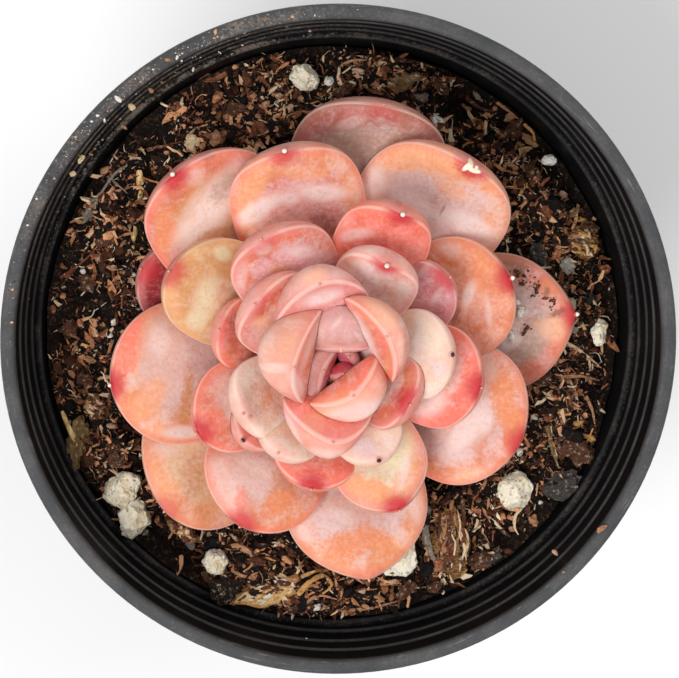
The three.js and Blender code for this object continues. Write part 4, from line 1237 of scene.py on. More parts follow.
def plastic_finish(settings):
    """Black moulded plastic: a grey lip that is partly wear and partly painted light, faint painted
    highlight lines along the ridges, and dust.
    """
    finish = Finish("pot_plastic_finish", Specular_IOR_Level=0.1)
    place = finish.place()
    x = place.part(0)
    y = place.part(1)
    z = place.part(2)
    radius = (x * x + y * y).math("SQRT")
    bearing = y.math("ARCTAN2", x)
    cloud = finish.noise(place, 0.006, detail=6.0, roughness=0.65)
    speck = finish.noise(place, 0.0004, detail=3.0, roughness=0.7)
    rings = finish.noise(finish.vector(radius * 900, bearing * 1.2, z * 900), 1.0, detail=3.0)
    scuffs = finish.noise(finish.vector(radius * 2600, bearing * 9, z * 300), 1.0, detail=4.0, roughness=0.7)
    # The lip's top is painted grey, partly wear and partly painted light where it faces the lamps; the outer
    # band below the flange is painted grey at half strength
    lip = finish.smooth(z, (POT_HEIGHT - 1.3) * MM, (POT_HEIGHT - 0.35) * MM)
    band = finish.smooth(z, (POT_HEIGHT - 5.4) * MM, (POT_HEIGHT - 4.8) * MM)
    outside = finish.smooth(radius, 0.0436, 0.0442)
    lip_wear_and_light = lip.math("MAXIMUM", outside * band * 0.5)
    colour = finish.mix(lip_wear_and_light * (0.62 + (cloud - 0.5) * 0.7), (*settings.plastic, 1.0), tone("5e5f61"))
    # Faint paler lines along the ridges: painted highlights on their edges
    ridge_highlights = 0.0
    for height, strength in RIDGE_HIGHLIGHTS:
        line = finish.smooth((z - height * MM).absolute(), 0.00035, 0.0001)
        ridge_highlights = line * strength + ridge_highlights
    colour = finish.mix(ridge_highlights * (0.5 + cloud * 0.8), colour, tone("4a4a4c"))
    scuffed = finish.smooth(scuffs, 0.58, 0.74) * lip
    colour = finish.mix(scuffed * 0.5, colour, tone("8a8a8a"))

    # Dust and grains lie thickest at the back left of the lip
    back_left = finish.smooth(finish.distance(place, (-0.026, 0.036, 0.074)), 0.036, 0.012)
    upward = finish.smooth(finish.upward(), 0.1, 0.8)
    dusty = finish.smooth(cloud * 0.5 + speck * 0.5, 0.47, 0.6) * upward * (0.25 + back_left)
    colour = finish.mix(dusty * settings.dust, colour, tone("8a7c6e"))
    grains = finish.smooth(speck, 0.6, 0.68) * upward * (0.12 + back_left)
    colour = finish.mix(grains * 0.7, colour, tone("a89c8e"))
    roughness = 0.42 + rings * 0.16 + dusty * 0.35 + scuffed * 0.1
    return finish.paint(colour, roughness, rings * 0.5 + speck * 0.5, depth=0.00012, strength=0.35)


class ECHEVERIA_OT_pot(bpy.types.Operator):
    """Builds the moulded pot with its rolled lip, stacking ridges and drained floor"""

    bl_idname = "echeveria.pot"
    bl_label = "Nursery Pot"

    def execute(self, context):
        settings = context.scene.echeveria.pot
        section = rounded(pot_section(POT_HEIGHT, RIM_RADIUS, BASE_RADIUS))
        pot = lathe("nursery_pot_shell", section, settings.sectors, plastic_finish(settings))
        low = FLOOR_UNDERSIDE - DRILL_REACH
        high = FLOOR_TOP + DRILL_REACH
        drills = []
        for i in range(DRAIN_COUNT):
            bearing = (i + 0.5) / DRAIN_COUNT * 2 * math.pi
            hole = [(0, low), (DRAIN_RADIUS, low), (DRAIN_RADIUS, high), (0, high)]
            drill = lathe("drill", hole, DRAIN_SECTORS)
            centre = Vector((math.cos(bearing), math.sin(bearing), 0)) * DRAIN_CIRCLE * MM
            drill.data.transform(Matrix.Translation(centre))
            drills.append(drill)
        cut_back(pot, drills)
        remove(*drills)
        shade(pot.data, POT_CREASE)
        settle(pot, "pot_plastic", "nursery_pot")
        return {"FINISHED"}


def pot_section(top, rim, base):
    """The pot's wall as (radius, height, fillet): from under the floor, up the outside, over the
    rolled lip, down the stacking ridges and to the middle of the floor."""
    return [
        (0, FLOOR_UNDERSIDE),
        (base - 3.4, FLOOR_UNDERSIDE, 0.3),
        (base - 3, 0, 0.3),
        (base - 0.6, 0, 0.4),
        (base, 0.6, 0.5),
        (rim - 3.5, top - 13.6, 0.8),
        (rim - 2.75, top - 11.8, 0.8),
        (rim - 2.3, top - 7.6, 0.6),
        (rim - 1.55, top - 5, 0.5),
        (rim - 1.45, top - 1.3, 0.2),
        (rim - 0.85, top - 1.3, 0.1),
        (rim - 0.85, top - 5, 0.15),
        (rim, top - 5, 0.3),
        (rim, top - 0.7, 0.3),
        (rim - 0.2, top - 0.2, 0.2),
        (rim - 0.6, top, 0.2),
        (rim - 1.5, top, 0.2),
        (rim - 1.85, top - 0.25, 0.15),
        (rim - 2.05, top - 0.8, 0.2),
        (rim - 2.15, top - 4.4, 0.2),
        (rim - 2.45, top - 4.8, 0.15),
        (rim - 2.7, top - 7.1, 0.2),
        (rim - 3, top - 7.5, 0.15),
        (rim - 3.2, top - 10, 0.2),
        (rim - 3.6, top - 10.5, 0.2),
        (rim - 3.8, top - 11.6, 0.3),
        (SHOULDER_RADIUS, top - SHOULDER_DROP, 0.4),
        (base - 1, FLOOR_TOP + 0.6, 0.4),
        (base - 1.6, FLOOR_TOP, 0.4),
        (0, FLOOR_TOP),
    ]


def cut_back(piece, tools):
    """Cuts a piece by each tool, and keeps its largest body."""
    for tool in tools:
        cut = piece.modifiers.new("cut", "BOOLEAN")
        cut.operation = "DIFFERENCE"
        cut.solver = "MANIFOLD"
        cut.object = tool
    keep_largest(applied(piece))


def boxes_meet(first, second):
    return bool(np.all(first[0] < second[1]) and np.all(second[0] < first[1]))


def pressed_leaf(leaf, order, grid, tool_grid, tools, settings):
    """A leaf's blade, pressed back by the tools of the leaves over it. Its own tool joins them."""
    points, faces, skin = leaf_skin(leaf, order, *grid)
    finish = leaf_finish(leaf, tuple(points[-1] * MM), settings)
    piece = new_piece(leaf["name"] + "_blade", points, faces, finish)
    add_uv(piece.data, "leaf", skin["across"], skin["along"])
    add_uv(piece.data, "side", skin["upside"], skin["edge"])
    add_uv(piece.data, "run", skin["run"], skin["run"])
    box = (points.min(0), points.max(0))
    over = [tool for tool, tool_box in tools if boxes_meet(box, tool_box)]
    if over:
        cut_back(piece, over)
    shade(piece.data, LEAF_CREASE)
    points, faces, _ = leaf_skin(leaf, order, *tool_grid, PRESS_GAP)
    tools.append((new_piece("press_tool", points, faces), (points.min(0), points.max(0))))
    return piece


class ECHEVERIA_OT_leaves(bpy.types.Operator):
    """Builds every leaf from its midrib and section, each pressed back by those that lie over it"""

    bl_idname = "echeveria.leaves"
    bl_label = "Leaves"

    def execute(self, context):
        settings = context.scene.echeveria.leaf
        slots = {row["node"]: row["material_slot"] for row in frame["record"]["subparts"]}
        tools = []
        for order, leaf in enumerate(LEAVES):
            piece = pressed_leaf(leaf, order, LEAF_GRID, TOOL_GRID, tools, settings)
            settle(piece, slots[leaf["name"]], leaf["name"])
        for order, leaf in enumerate(BUD_LEAVES):
            piece = pressed_leaf(leaf, order, BUD_GRID, BUD_TOOL_GRID, tools, settings)
            settle(piece, "leaf_mauve")
        remove(*[tool for tool, box in tools])
        return {"FINISHED"}


class ECHEVERIA_OT_stem(bpy.types.Operator):
    """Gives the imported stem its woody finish"""

    bl_idname = "echeveria.stem"
    bl_label = "Stem"

    def execute(self, context):
        finish = Finish("stem_finish")
        place = finish.place()
        bark = finish.noise(finish.stretch(place, (1.0, 1.0, 3.0)), 0.0012, detail=5.0)
        scars = finish.cells(place, 0.0028)
        colour = finish.ramp(bark, (0.3, "5a4434"), (0.55, "9a8262"), (0.75, "c2b08c"))
        stem = frame["nodes"]["stem"]
        stem.data.materials.clear()
        stem.data.materials.append(finish.paint(colour, 0.7 + bark * 0.2, bark + scars, depth=0.0003))
        return {"FINISHED"}


def nearest_two(x, y, seeds):
    """Distances to the nearest and the second nearest seed, and which is the nearest."""
    first = np.full(x.shape, 1e9)
    second = np.full(x.shape, 1e9)
    which = np.zeros(x.shape, int)
    for number, (sx, sy) in enumerate(seeds):
        distance = np.hypot(x - sx, y - sy)
        closer = distance < first
        second = np.where(closer, first, np.minimum(second, distance))
        which = np.where(closer, number, which)
        first = np.where(closer, distance, first)
    return first, second, which


def scattered(draw, count, radius):
    """Places drawn evenly over a disc."""
    places = []
    for _ in range(count):
        reach = radius * math.sqrt(draw.random())
        bearing = draw.uniform(0, 2 * math.pi)
        places.append((reach * math.cos(bearing), reach * math.sin(bearing)))
    return places


def clods(x, y, draw):
    """Relief of the mix in millimetres: clods of three sizes that lie at different heights."""
    relief = np.zeros(x.shape)
    for count, height, step in CLODS:
        seeds = scattered(draw, count, SHOULDER_RADIUS)
        first, second, which = nearest_two(x, y, seeds)
        lifts = np.array([draw.uniform(-1, 1) for _ in seeds])
        crease = np.clip((second - first) / 0.9, 0, 1)
        relief += height * crease + step * lifts[which] * crease
    return relief - CLOD_SINK


def heaps(x, y):
    """Mounds and hollows of the mix, in millimetres."""
    total = np.zeros(x.shape)
    for at_x, at_y, radius, rise in HEAPS:
        total += rise * np.exp(-((x - at_x) ** 2 + (y - at_y) ** 2) / radius ** 2)
    return total


def search_tree(*names):
    """A search tree of the finished pieces of these names, in metres."""
    points = []
    faces = []
    for name in names:
        mesh = bpy.data.objects[name].data
        start = len(points)
        points.extend(vertex.co.copy() for vertex in mesh.vertices)
        faces.extend([start + i for i in polygon.vertices] for polygon in mesh.polygons)
    return BVHTree.FromPolygons(points, faces)


def leaf_tree():
    return search_tree(*[leaf["name"] + "_blade" for leaf in LEAVES])


def room_under_leaves(x, y, height):
    """Clear height over each place of the mix, in millimetres, up to the lowest leaf over it."""
    tree = leaf_tree()
    room = np.full(height.shape, OPEN_SKY)
    for i, j in np.ndindex(height.shape):
        start = Vector((x[i, j], y[i, j], SOIL_LEVEL - 12)) * MM
        hit = tree.ray_cast(start, Vector((0, 0, 1)))
        if hit[0] is not None:
            room[i, j] = hit[0].z / MM - height[i, j]
    return room


def soil_finish(name, dark, light):
    """Dark damp mix: lumps of two tones with pale grit. Near-black tones here are partly painted shade, for
    the shade in the gaps between the crumbs.
    """
    finish = Finish(name, Specular_IOR_Level=0.2)
    place = finish.place()
    lump = finish.noise(place, 0.002, detail=6.0, roughness=0.7)
    grit = finish.noise(place, 0.0005, detail=4.0, roughness=0.75)
    colour = finish.ramp(lump * 0.5 + grit * 0.5, (0.36, dark), (0.54, light),
                         (0.62, "5c4434"), (0.72, "a88a70"))
    return finish.paint(colour, 0.75 + grit * 0.25, lump + grit, depth=0.0006, strength=0.9)


def mix_top(seed):
    """Places of the mix's top in rings from the wall inward, the share of the way out of each
    ring, and the room under the leaves at each place."""
    angle = np.arange(MIX_SECTORS) / MIX_SECTORS * 2 * math.pi
    rough_edge = wall_radius(SOIL_LEVEL)
    edge_height = soil_height(rough_edge * np.cos(angle), rough_edge * np.sin(angle)) - 0.6
    edge = wall_radius(edge_height) - WALL_GAP
    shares = np.linspace(1, 0, MIX_RINGS + 1)[:-1]
    radius = edge[None, :] * shares[:, None]
    x = radius * np.cos(angle)
    y = radius * np.sin(angle)
    relief = clods(x, y, random.Random(seed)) + heaps(x, y)
    near_wall = np.clip((shares[:, None] - 0.94) / 0.06, 0, 1)
    relief = relief * (1 - near_wall) - EDGE_DIP * near_wall
    height = soil_height(x, y) + relief
    room = room_under_leaves(x, y, height)
    height = height + np.minimum(room - LEAF_CLEARANCE, 0)
    return np.stack([x, y, height], -1), shares, room


def litter_share(top, shares, room):
    """How thickly litter lies on each place of the mix: in clumps, little under leaves and in
    hollows, and none on the ring at the wall. More pale litter on the mounds and less in the hollows, where
    the near-black base shows, is partly painted light and shade by height."""
    x = top[:, :, 0]
    y = top[:, :, 1]
    share = np.where(room > OPEN_SKY - 1, 1.0, np.clip((room - 0.8) / 3.0, 0, 0.35))
    share = share * np.where(shares[:, None] > 0.985, 0.0, 1.0)
    clumps = 0.85 + 0.9 * np.sin(0.9 * x + 1.3 * np.sin(0.6 * y)) * np.sin(0.8 * y + np.sin(0.7 * x))
    # More pale litter on mounds and less in hollows: partly painted light on the mounds and painted shade in
    # the hollows
    clumps = np.clip(clumps, 0.2, 1.5) * np.clip(1 + 0.5 * heaps(x, y), 0.04, 1.6)
    return share * clumps


class ECHEVERIA_OT_mix(bpy.types.Operator):
    """Builds the potting mix: the plug that fills the pot, with its cloddy top"""

    bl_idname = "echeveria.mix"
    bl_label = "Potting Mix"

    def execute(self, context):
        top, shares, room = mix_top(context.scene.echeveria.mix.seed)
        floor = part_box("potting_mix")[0].z / MM
        shoulder = SOIL_LEVEL - SHOULDER_DROP / 2
        base = wall_radius(floor + MIX_BEVEL)
        plug = [
            (base - 1.8, floor),
            (base - WALL_GAP, floor + MIX_BEVEL),
            (wall_radius(shoulder) - WALL_GAP, shoulder),
        ]
        angle = np.arange(MIX_SECTORS) / MIX_SECTORS * 2 * math.pi
        lower = [
            np.stack([r * np.cos(angle), r * np.sin(angle), np.full(MIX_SECTORS, z)], -1)
            for r, z in plug
        ]
        points = np.vstack([[0, 0, floor], *lower, top.reshape(-1, 3), [0, 0, soil_height(0, 0)]])
        faces = ring_faces(len(plug) + MIX_RINGS, MIX_SECTORS)
        # Near-black tones: partly the damp mix, partly painted shade in the gaps between the crumbs
        finish = soil_finish("mix_finish", "070403", "1e120c")
        mix = new_piece("potting_mix_plug", points, faces, finish)
        shade(mix.data, ROUGH_CREASE)
        settle(mix, "potting_mix", "potting_mix")

        sheet = new_piece("mix_top", top.reshape(-1, 3), strip_faces(MIX_RINGS, MIX_SECTORS))
        field = sheet.data.attributes.new("room", "FLOAT", "POINT")
        field.data.foreach_set("value", litter_share(top, shares, room).ravel().astype(np.float32))
        return {"FINISHED"}


def strip_faces(rings, sectors):
    """Faces between rings of points, open at both ends."""
    faces = []
    for i in range(rings - 1):
        low = i * sectors
        high = low + sectors
        for j in range(sectors):
            after = (j + 1) % sectors
            faces.append((low + j, low + after, high + after, high + j))
    return faces


def loose_shape(name, points, faces, along, across):
    """A mesh for scattering, from points in millimetres, with a UV map that follows its grain."""
    mesh = bpy.data.meshes.new(name)
    mesh.from_pydata((np.asarray(points, float) * MM).tolist(), [], faces)
    mesh.update()
    add_uv(mesh, "grain", np.asarray(along, float), np.asarray(across, float))
    return bpy.data.objects.new(name, mesh)


def crumb_shape(name, draw, fineness, knock, scale):
    """A knocked-about lump about 1 mm across."""
    work = bmesh.new()
    bmesh.ops.create_icosphere(work, subdivisions=fineness, radius=0.5)
    points = []
    for vertex in work.verts:
        push = 1 + knock * draw.uniform(-1, 1)
        points.append([a * b * push for a, b in zip(vertex.co, scale)])
    faces = [[vertex.index for vertex in face.verts] for face in work.faces]
    work.free()
    heights = [point[0] for point in points]
    sides = [2 * point[1] for point in points]
    return loose_shape(name, points, faces, heights, sides)


def shred_shape(name, draw, rings=4, sides=3):
    """A torn flake about 1 mm long, thin, bent and frayed."""
    half = draw.uniform(0.06, 0.2)
    thick = draw.uniform(0.025, 0.07)
    bend = draw.uniform(-0.5, 0.5)
    twist = draw.uniform(-1.5, 1.5)
    points = [[-0.5, 0, bend * 0.25]]
    along = [0.0]
    across = [0.0]
    for i in range(rings):
        share = (i + 0.35) / (rings - 0.3)
        breadth = half * math.sin(math.pi * min(max(share, 0.08), 0.92)) ** 0.4 * draw.uniform(0.6, 1.15)
        turn = twist * (share - 0.5)
        drift = draw.uniform(-0.06, 0.06)
        for k in range(sides):
            angle = k / sides * 2 * math.pi
            a = breadth * math.cos(angle) + drift
            b = thick * math.sin(angle)
            points.append([share - 0.5 + draw.uniform(-0.05, 0.05),
                           a * math.cos(turn) - b * math.sin(turn),
                           a * math.sin(turn) + b * math.cos(turn) + bend * (share - 0.5) ** 2])
            along.append(share)
            across.append(math.cos(angle))
    points.append([0.5, 0, bend * 0.25])
    along.append(1.0)
    across.append(0.0)
    return loose_shape(name, points, ring_faces(rings, sides), along, across)


def fibre_shape(name, draw):
    """A thin curled fibre about 5 mm long."""
    points = []
    heading = draw.uniform(0, 2 * math.pi)
    curl = draw.uniform(-0.55, 0.55)
    place = Vector((0, 0, 0))
    for _ in range(7):
        points.append(place.copy())
        heading += curl + draw.uniform(-0.4, 0.4)
        place += Vector((math.cos(heading), math.sin(heading), draw.uniform(-0.3, 0.3))) * 0.7
    middle = points[3].copy()
    points = [point - middle for point in points]
    radius = draw.uniform(0.08, 0.17)
    skin, faces = tube(points, lambda share: radius * (1 - 0.6 * abs(2 * share - 1)), 3)
    along = np.concatenate([[0], np.repeat(np.linspace(0, 1, 7), 3), [1]])
    return loose_shape(name, skin, faces, along, np.zeros(len(skin)))


def tube(line, radius_at, sides, squash=1.0):
    """A closed tube along a line of points in millimetres; radius_at takes the share of its length."""
    line = [Vector(point) for point in line]
    points = []
    normal = Vector((0, 0, 1))
    for i, point in enumerate(line):
        before = line[max(i - 1, 0)]
        after = line[min(i + 1, len(line) - 1)]
        heading = (after - before).normalized()
        normal = (normal - heading * normal.dot(heading)).normalized()
        side = heading.cross(normal)
        radius = radius_at(i / (len(line) - 1))
        for k in range(sides):
            angle = k / sides * 2 * math.pi
            points.append(point + (side * math.cos(angle) + normal * math.sin(angle) * squash) * radius)
    points = [line[0], *points, line[-1]]
    return np.array([list(p) for p in points]), ring_faces(len(line), sides)


def smooth_line(places, steps):
    """Points on a smooth curve through the places."""
    places = [Vector(place) for place in places]
    line = []
    for i in range(len(places) - 1):
        before = places[max(i - 1, 0)]
        after = places[min(i + 2, len(places) - 1)]
        for step in range(steps):
            t = step / steps
            a = 2 * places[i]
            b = places[i + 1] - before
            c = 2 * before - 5 * places[i] + 4 * places[i + 1] - after
            d = 3 * places[i] - before - 3 * places[i + 1] + after
            line.append((a + b * t + c * t * t + d * t ** 3) / 2)
    line.append(places[-1])
    return line


def scatter_tree(name, shapes, material, seed):
    """Geometry nodes that strew shapes over a surface, each turned, sized and shaded at random."""
    tree = bpy.data.node_groups.new(name, "GeometryNodeTree")
    sockets = {}
    rows = [("Surface", "INPUT", "NodeSocketGeometry", None),
            ("Density", "INPUT", "NodeSocketFloat", 100000.0),
            ("Smallest", "INPUT", "NodeSocketFloat", 0.5),
            ("Largest", "INPUT", "NodeSocketFloat", 1.5),
            ("Tilt", "INPUT", "NodeSocketFloat", 3.1),
            ("Strewn", "OUTPUT", "NodeSocketGeometry", None)]
    for label, way, kind, value in rows:
        socket = tree.interface.new_socket(label, in_out=way, socket_type=kind)
        if value is not None:
            socket.default_value = value
        sockets[label] = socket
    graph = Graph(tree)
    group_input = tree.nodes.new("NodeGroupInput")
    group_output = tree.nodes.new("NodeGroupOutput")

    def wanted(label):
        return Value(graph, group_input.outputs[label])

    def drawn(low, high, step):
        """A random number from low to high for each point; step keeps the draws apart."""
        values = {2: low, 3: high, 8: seed + step}
        return graph.add("FunctionNodeRandomValue", values, output=1, data_type="FLOAT")

    room = graph.add("GeometryNodeInputNamedAttribute", {0: "room"}, data_type="FLOAT")
    points = graph.add(
        "GeometryNodeDistributePointsOnFaces",
        {"Mesh": wanted("Surface"), "Density": wanted("Density") * room, "Seed": seed},
    )
    pool = graph.add("GeometryNodeCollectionInfo", {0: shapes, 1: True, 2: True})
    tilt = wanted("Tilt")
    turn = graph.add("ShaderNodeCombineXYZ", [drawn(-1.0, 1.0, 1) * tilt, drawn(-1.0, 1.0, 4) * tilt,
                                              drawn(0.0, FULL_TURN, 5)])
    smallest = wanted("Smallest")
    scale = smallest + (wanted("Largest") - smallest) * drawn(0.0, 1.0, 2) ** SIZE_POWER
    strewn = graph.add(
        "GeometryNodeInstanceOnPoints",
        {"Points": points, "Instance": pool, "Pick Instance": True, "Rotation": turn, "Scale": scale},
    )
    stored = graph.add(
        "GeometryNodeStoreNamedAttribute",
        {"Geometry": strewn, "Name": "pick", "Value": drawn(0.0, 1.0, 3)},
        data_type="FLOAT",
        domain="INSTANCE",
    )
    real = graph.add("GeometryNodeRealizeInstances", [stored])
    dressed = graph.add("GeometryNodeSetMaterial", {"Geometry": real, "Material": material})
    tree.links.new(dressed.socket, group_output.inputs[0])
    return tree, sockets


def strew(name, surface, shapes, material, seed, **amounts):
    """Runs the scatter tree over a surface and keeps the result as a plain mesh."""
    pool = bpy.data.collections.new(name + "_shapes")
    for shape in shapes:
        pool.objects.link(shape)
    tree, sockets = scatter_tree(name + "_tree", pool, material, seed)
    carrier = bpy.data.objects.new(name, surface.data.copy())
    bpy.context.scene.collection.objects.link(carrier)
    scatter = carrier.modifiers.new("strew", "NODES")
    scatter.node_group = tree
    for label, amount in amounts.items():
        scatter[sockets[label].identifier] = amount
    mesh = applied(carrier, name)
    mesh.materials.clear()
    mesh.materials.append(material)
    remove(*shapes)
    bpy.data.collections.remove(pool)
    return carrier


def litter_finish(name, *stops):
    """Torn plant litter whose tone is picked for each piece, with a paler, frayed outline."""
    finish = Finish(name, Specular_IOR_Level=0.3)
    place = finish.place()
    grit = finish.noise(place, 0.0005, detail=4.0, roughness=0.75)
    grain = finish.uv("grain")
    fibre = finish.noise(finish.vector(grain.part(0) * 1.5, grain.part(1) * 4.0), 0.8, detail=3.0)
    pick = finish.attribute("pick")
    colour = finish.ramp(pick + (grit - 0.5) * 0.4 + (fibre - 0.5) * 0.25, *stops)
    outline = finish.smooth(grain.part(1).absolute() + (grit - 0.5) * 0.5, 0.75, 1.05)
    colour = finish.mix(outline * finish.smooth(pick, 0.25, 0.8) * 0.6, colour, tone("e0c6a6"))
    return finish.paint(colour, 0.6 + grit * 0.35, grit + fibre, depth=0.0004, strength=0.8)


class ECHEVERIA_OT_crumbs(bpy.types.Operator):
    """Strews clods, shreds, crumbs, pale chips and fibres over the mix with geometry nodes"""

    bl_idname = "echeveria.crumbs"
    bl_label = "Crumbs and Fibres"

    def execute(self, context):
        settings = context.scene.echeveria.mix
        draw = random.Random(settings.seed)
        top = bpy.data.objects["mix_top"]
        earth = litter_finish("earth_finish", (0.0, "040202"), (0.45, "160a06"), (0.66, "4a2816"),
                              (0.86, "9d6041"), (1.0, "f2ac7d"))
        bark = litter_finish("litter_finish", (0.0, "0b0504"), (0.26, "31180e"), (0.44, "79462d"),
                             (0.62, "ce8659"), (0.8, "ffc08d"), (1.0, "fff0cd"))
        chaff = litter_finish("chaff_finish", (0.0, "553320"), (0.4, "aa7454"), (0.7, "f2b484"),
                              (1.0, "fff4d4"))
        clods = [crumb_shape("clod_%d" % i, draw, 2, 0.25, (1, 0.8, 0.6)) for i in range(5)]
        crumbs = [crumb_shape("crumb_%d" % i, draw, 1, 0.3, (1, 0.7, 0.55)) for i in range(6)]
        shreds = [shred_shape("shred_%d" % i, draw, 4) for i in range(14)]
        chips = [shred_shape("chip_%d" % i, draw, 3) for i in range(8)]
        fibres = [fibre_shape("fibre_%d" % i, draw) for i in range(10)]
        strewn = [
            ("mix_clods", clods, earth, 0, {"Density": settings.clods, "Smallest": 1.0, "Largest": 3.0}),
            ("mix_crumbs", crumbs, earth, 10, {"Density": settings.crumbs, "Smallest": 0.4, "Largest": 1.7}),
            ("mix_shreds", shreds, bark, 40,
             {"Density": settings.shreds, "Smallest": 0.8, "Largest": 4.6, "Tilt": 1.1}),
            ("mix_chips", chips, chaff, 20,
             {"Density": settings.chips, "Smallest": 0.35, "Largest": 2.0, "Tilt": 1.1}),
            ("mix_fibres", fibres, chaff, 30,
             {"Density": settings.fibres, "Smallest": 0.35, "Largest": 1.0, "Tilt": 0.5}),
        ]
        for name, shapes, finish, step, amounts in strewn:
            piece = strew(name, top, shapes, finish, settings.seed + step, **amounts)
            settle(piece, "potting_mix")
        remove(top)
        return {"FINISHED"}


def chunk(length, breadth, height, draw):
    """Points and faces of a broken bit of litter that is splintered along its length."""
    fineness = 3 if length > COARSE_BIT else 2 if length > FINE_BIT else 1
    work = bmesh.new()
    bmesh.ops.create_icosphere(work, subdivisions=fineness, radius=0.5)
    shift = Vector((draw.uniform(0, 50), draw.uniform(0, 50), draw.uniform(0, 50)))
    points = []
    for vertex in work.verts:
        place = Vector((vertex.co.x * length, vertex.co.y * breadth, vertex.co.z * height))
        boxy = 1 + 0.6 * noise.noise(Vector((place.x * 0.6, place.y * 1.3, place.z * 1.3)) + shift)
        frayed = 0.26 * noise.noise(Vector((place.x * 1.1, place.y * 3.6, place.z * 3.6)) + shift)
        points.append(place * boxy + vertex.co.normalized() * frayed * min(length, 2.4))
    faces = [[vertex.index for vertex in face.verts] for face in work.faces]
    work.free()
    return points, faces


def ground_height(tree, x, y):
    """Height of the finished mix at a place, in millimetres."""
    hit = tree.ray_cast(Vector((x, y, POT_HEIGHT)) * MM, Vector((0, 0, -1)))
    return hit[0].z / MM


def laid(shape, turn, centre, tint):
    """A part of points, faces and a tone: the shape, turned and moved to its place."""
    points, faces = shape
    return [turn @ point + centre for point in points], faces, litter_tone(tint)


def tinted_piece(name, parts, slot):
    """One piece from parts of points, faces and a tone, with the tones as a colour attribute."""
    points = []
    faces = []
    tints = []
    for part_points, part_faces, tint in parts:
        start = len(points)
        points.extend(list(point) for point in part_points)
        faces.extend([start + i for i in face] for face in part_faces)
        tints.extend([tint] * len(part_points))
    finish = Finish(name + "_finish", Specular_IOR_Level=0.25)
    place = finish.place()
    grit = finish.noise(place, 0.0006, detail=5.0, roughness=0.75)
    broad = finish.noise(finish.stretch(place, (1.0, 2.6, 2.0), 0.5), 0.0016, detail=4.0)
    tint = finish.add("ShaderNodeAttribute", output=0, attribute_name="tint")
    colour = finish.mix(finish.smooth(grit * 0.5 + broad * 0.5, 0.47, 0.36) * 0.55, tint, tone("26170f"))
    # Pale flecks where the grit is high: painted highlights, where the fibres catch the light
    colour = finish.mix(finish.smooth(grit, 0.54, 0.68) * 0.55, colour, tone("fbead0"))
    finish.paint(colour, 0.7 + grit * 0.3, grit + broad, depth=0.0005, strength=0.9)
    piece = new_piece(name, points, faces, finish.material)
    layer = piece.data.color_attributes.new("tint", "FLOAT_COLOR", "POINT")
    layer.data.foreach_set("color", np.array(tints).ravel())
    shade(piece.data, LITTER_CREASE)
    return settle(piece, slot)


def bits_on_mix(ground, draw):
    """The bits that lie on the mix, each a little askew."""
    parts = []
    for name, x, y, length, breadth, height, turn in BITS:
        shape = chunk(length, breadth, height, draw)
        lean = Matrix.Rotation(draw.uniform(-0.25, 0.25), 3, "X")
        spin = Matrix.Rotation(math.radians(turn), 3, "Z")
        centre = Vector((x, y, ground_height(ground, x, y) + height * 0.25))
        parts.append(laid(shape, spin @ lean, centre, name))
    return parts


def strands_on_mix(ground):
    """The twigs and curled strands that lie on the mix, thinner towards one end."""
    parts = []
    for name, radius, places in STRANDS:
        line = [(x, y, ground_height(ground, x, y) + radius + 0.3) for x, y in places]
        fray = random.Random(len(places))

        def thickness(share, radius=radius, fray=fray):
            return radius * (1.0 - 0.7 * share ** 2) * fray.uniform(0.75, 1.1)

        points, faces = tube(smooth_line(line, 5), thickness, 7, squash=0.8)
        parts.append((points, faces, litter_tone(name)))
    return parts


def bits_on_lip(count, draw):
    """The bits on the pot's lip and ridges, and finer grains at its back left."""
    parts = []
    for name, x, y, z, size in LIP_BITS:
        shape = chunk(size * 0.8, size * 0.42, size * 0.3, draw)
        spin = Matrix.Rotation(draw.uniform(0, 3.1), 3, "Z")
        inward = 1 if z > POT_HEIGHT - 1 else 1 - 0.4 * size / math.hypot(x, y)
        parts.append(laid(shape, spin, Vector((x * inward, y * inward, z + size * 0.1)), name))
    for _ in range(count):
        bearing = math.radians(draw.triangular(*LIP_GRAIN_BEARINGS))
        radius, z = draw.choice(LIP_LEDGES)
        radius += draw.uniform(-0.2, 0.2)
        size = 0.14 + 0.4 * draw.random() ** 3
        shape = chunk(size, size * 0.7, size * 0.5, draw)
        centre = Vector((radius * math.cos(bearing), radius * math.sin(bearing), z + size * 0.15))
        parts.append(laid(shape, Matrix.Identity(3), centre, draw.choice(LIP_GRAIN_TONES)))
    return parts


def bits_on_leaf(draw):
    """The crumbs on the leaf that points right, each flat on its skin."""
    rows = list(LEAF_BITS)
    for x, y, spread, count in LEAF_DUST:
        for _ in range(count):
            size = 0.15 + 0.5 * draw.random() ** 2
            name = draw.choice(LEAF_DUST_TONES)
            at_x = draw.gauss(x, spread * 0.6)
            at_y = draw.gauss(y, spread * 0.5)
            rows.append((name, at_x, at_y, size, size * 0.6, size * 0.5, draw.uniform(0, 180)))
    leaves = leaf_tree()
    parts = []
    for name, x, y, length, breadth, height, turn in rows:
        place, normal, _, _ = leaves.ray_cast(Vector((x, y, 100)) * MM, Vector((0, 0, -1)))
        shape = chunk(length, breadth, height, draw)
        lay = normal.to_track_quat("Z", "X").to_matrix() @ Matrix.Rotation(math.radians(turn), 3, "Z")
        parts.append(laid(shape, lay, place / MM + normal * (height * 0.4), name))
    return parts


class ECHEVERIA_OT_litter(bpy.types.Operator):
    """Lays the loose bits, twigs and curled strands on the mix, and the bits on the pot's lip"""

    bl_idname = "echeveria.litter"
    bl_label = "Litter"

    def execute(self, context):
        settings = context.scene.echeveria.mix
        draw = random.Random(settings.seed + 5)
        ground = search_tree("potting_mix_plug")
        tinted_piece("mix_bits", bits_on_mix(ground, draw), "potting_mix")
        tinted_piece("mix_strands", strands_on_mix(ground), "straw")
        tinted_piece("lip_bits", bits_on_lip(settings.lip_grains, draw), "potting_mix")
        tinted_piece("leaf_bits", bits_on_leaf(draw), "potting_mix")
        return {"FINISHED"}


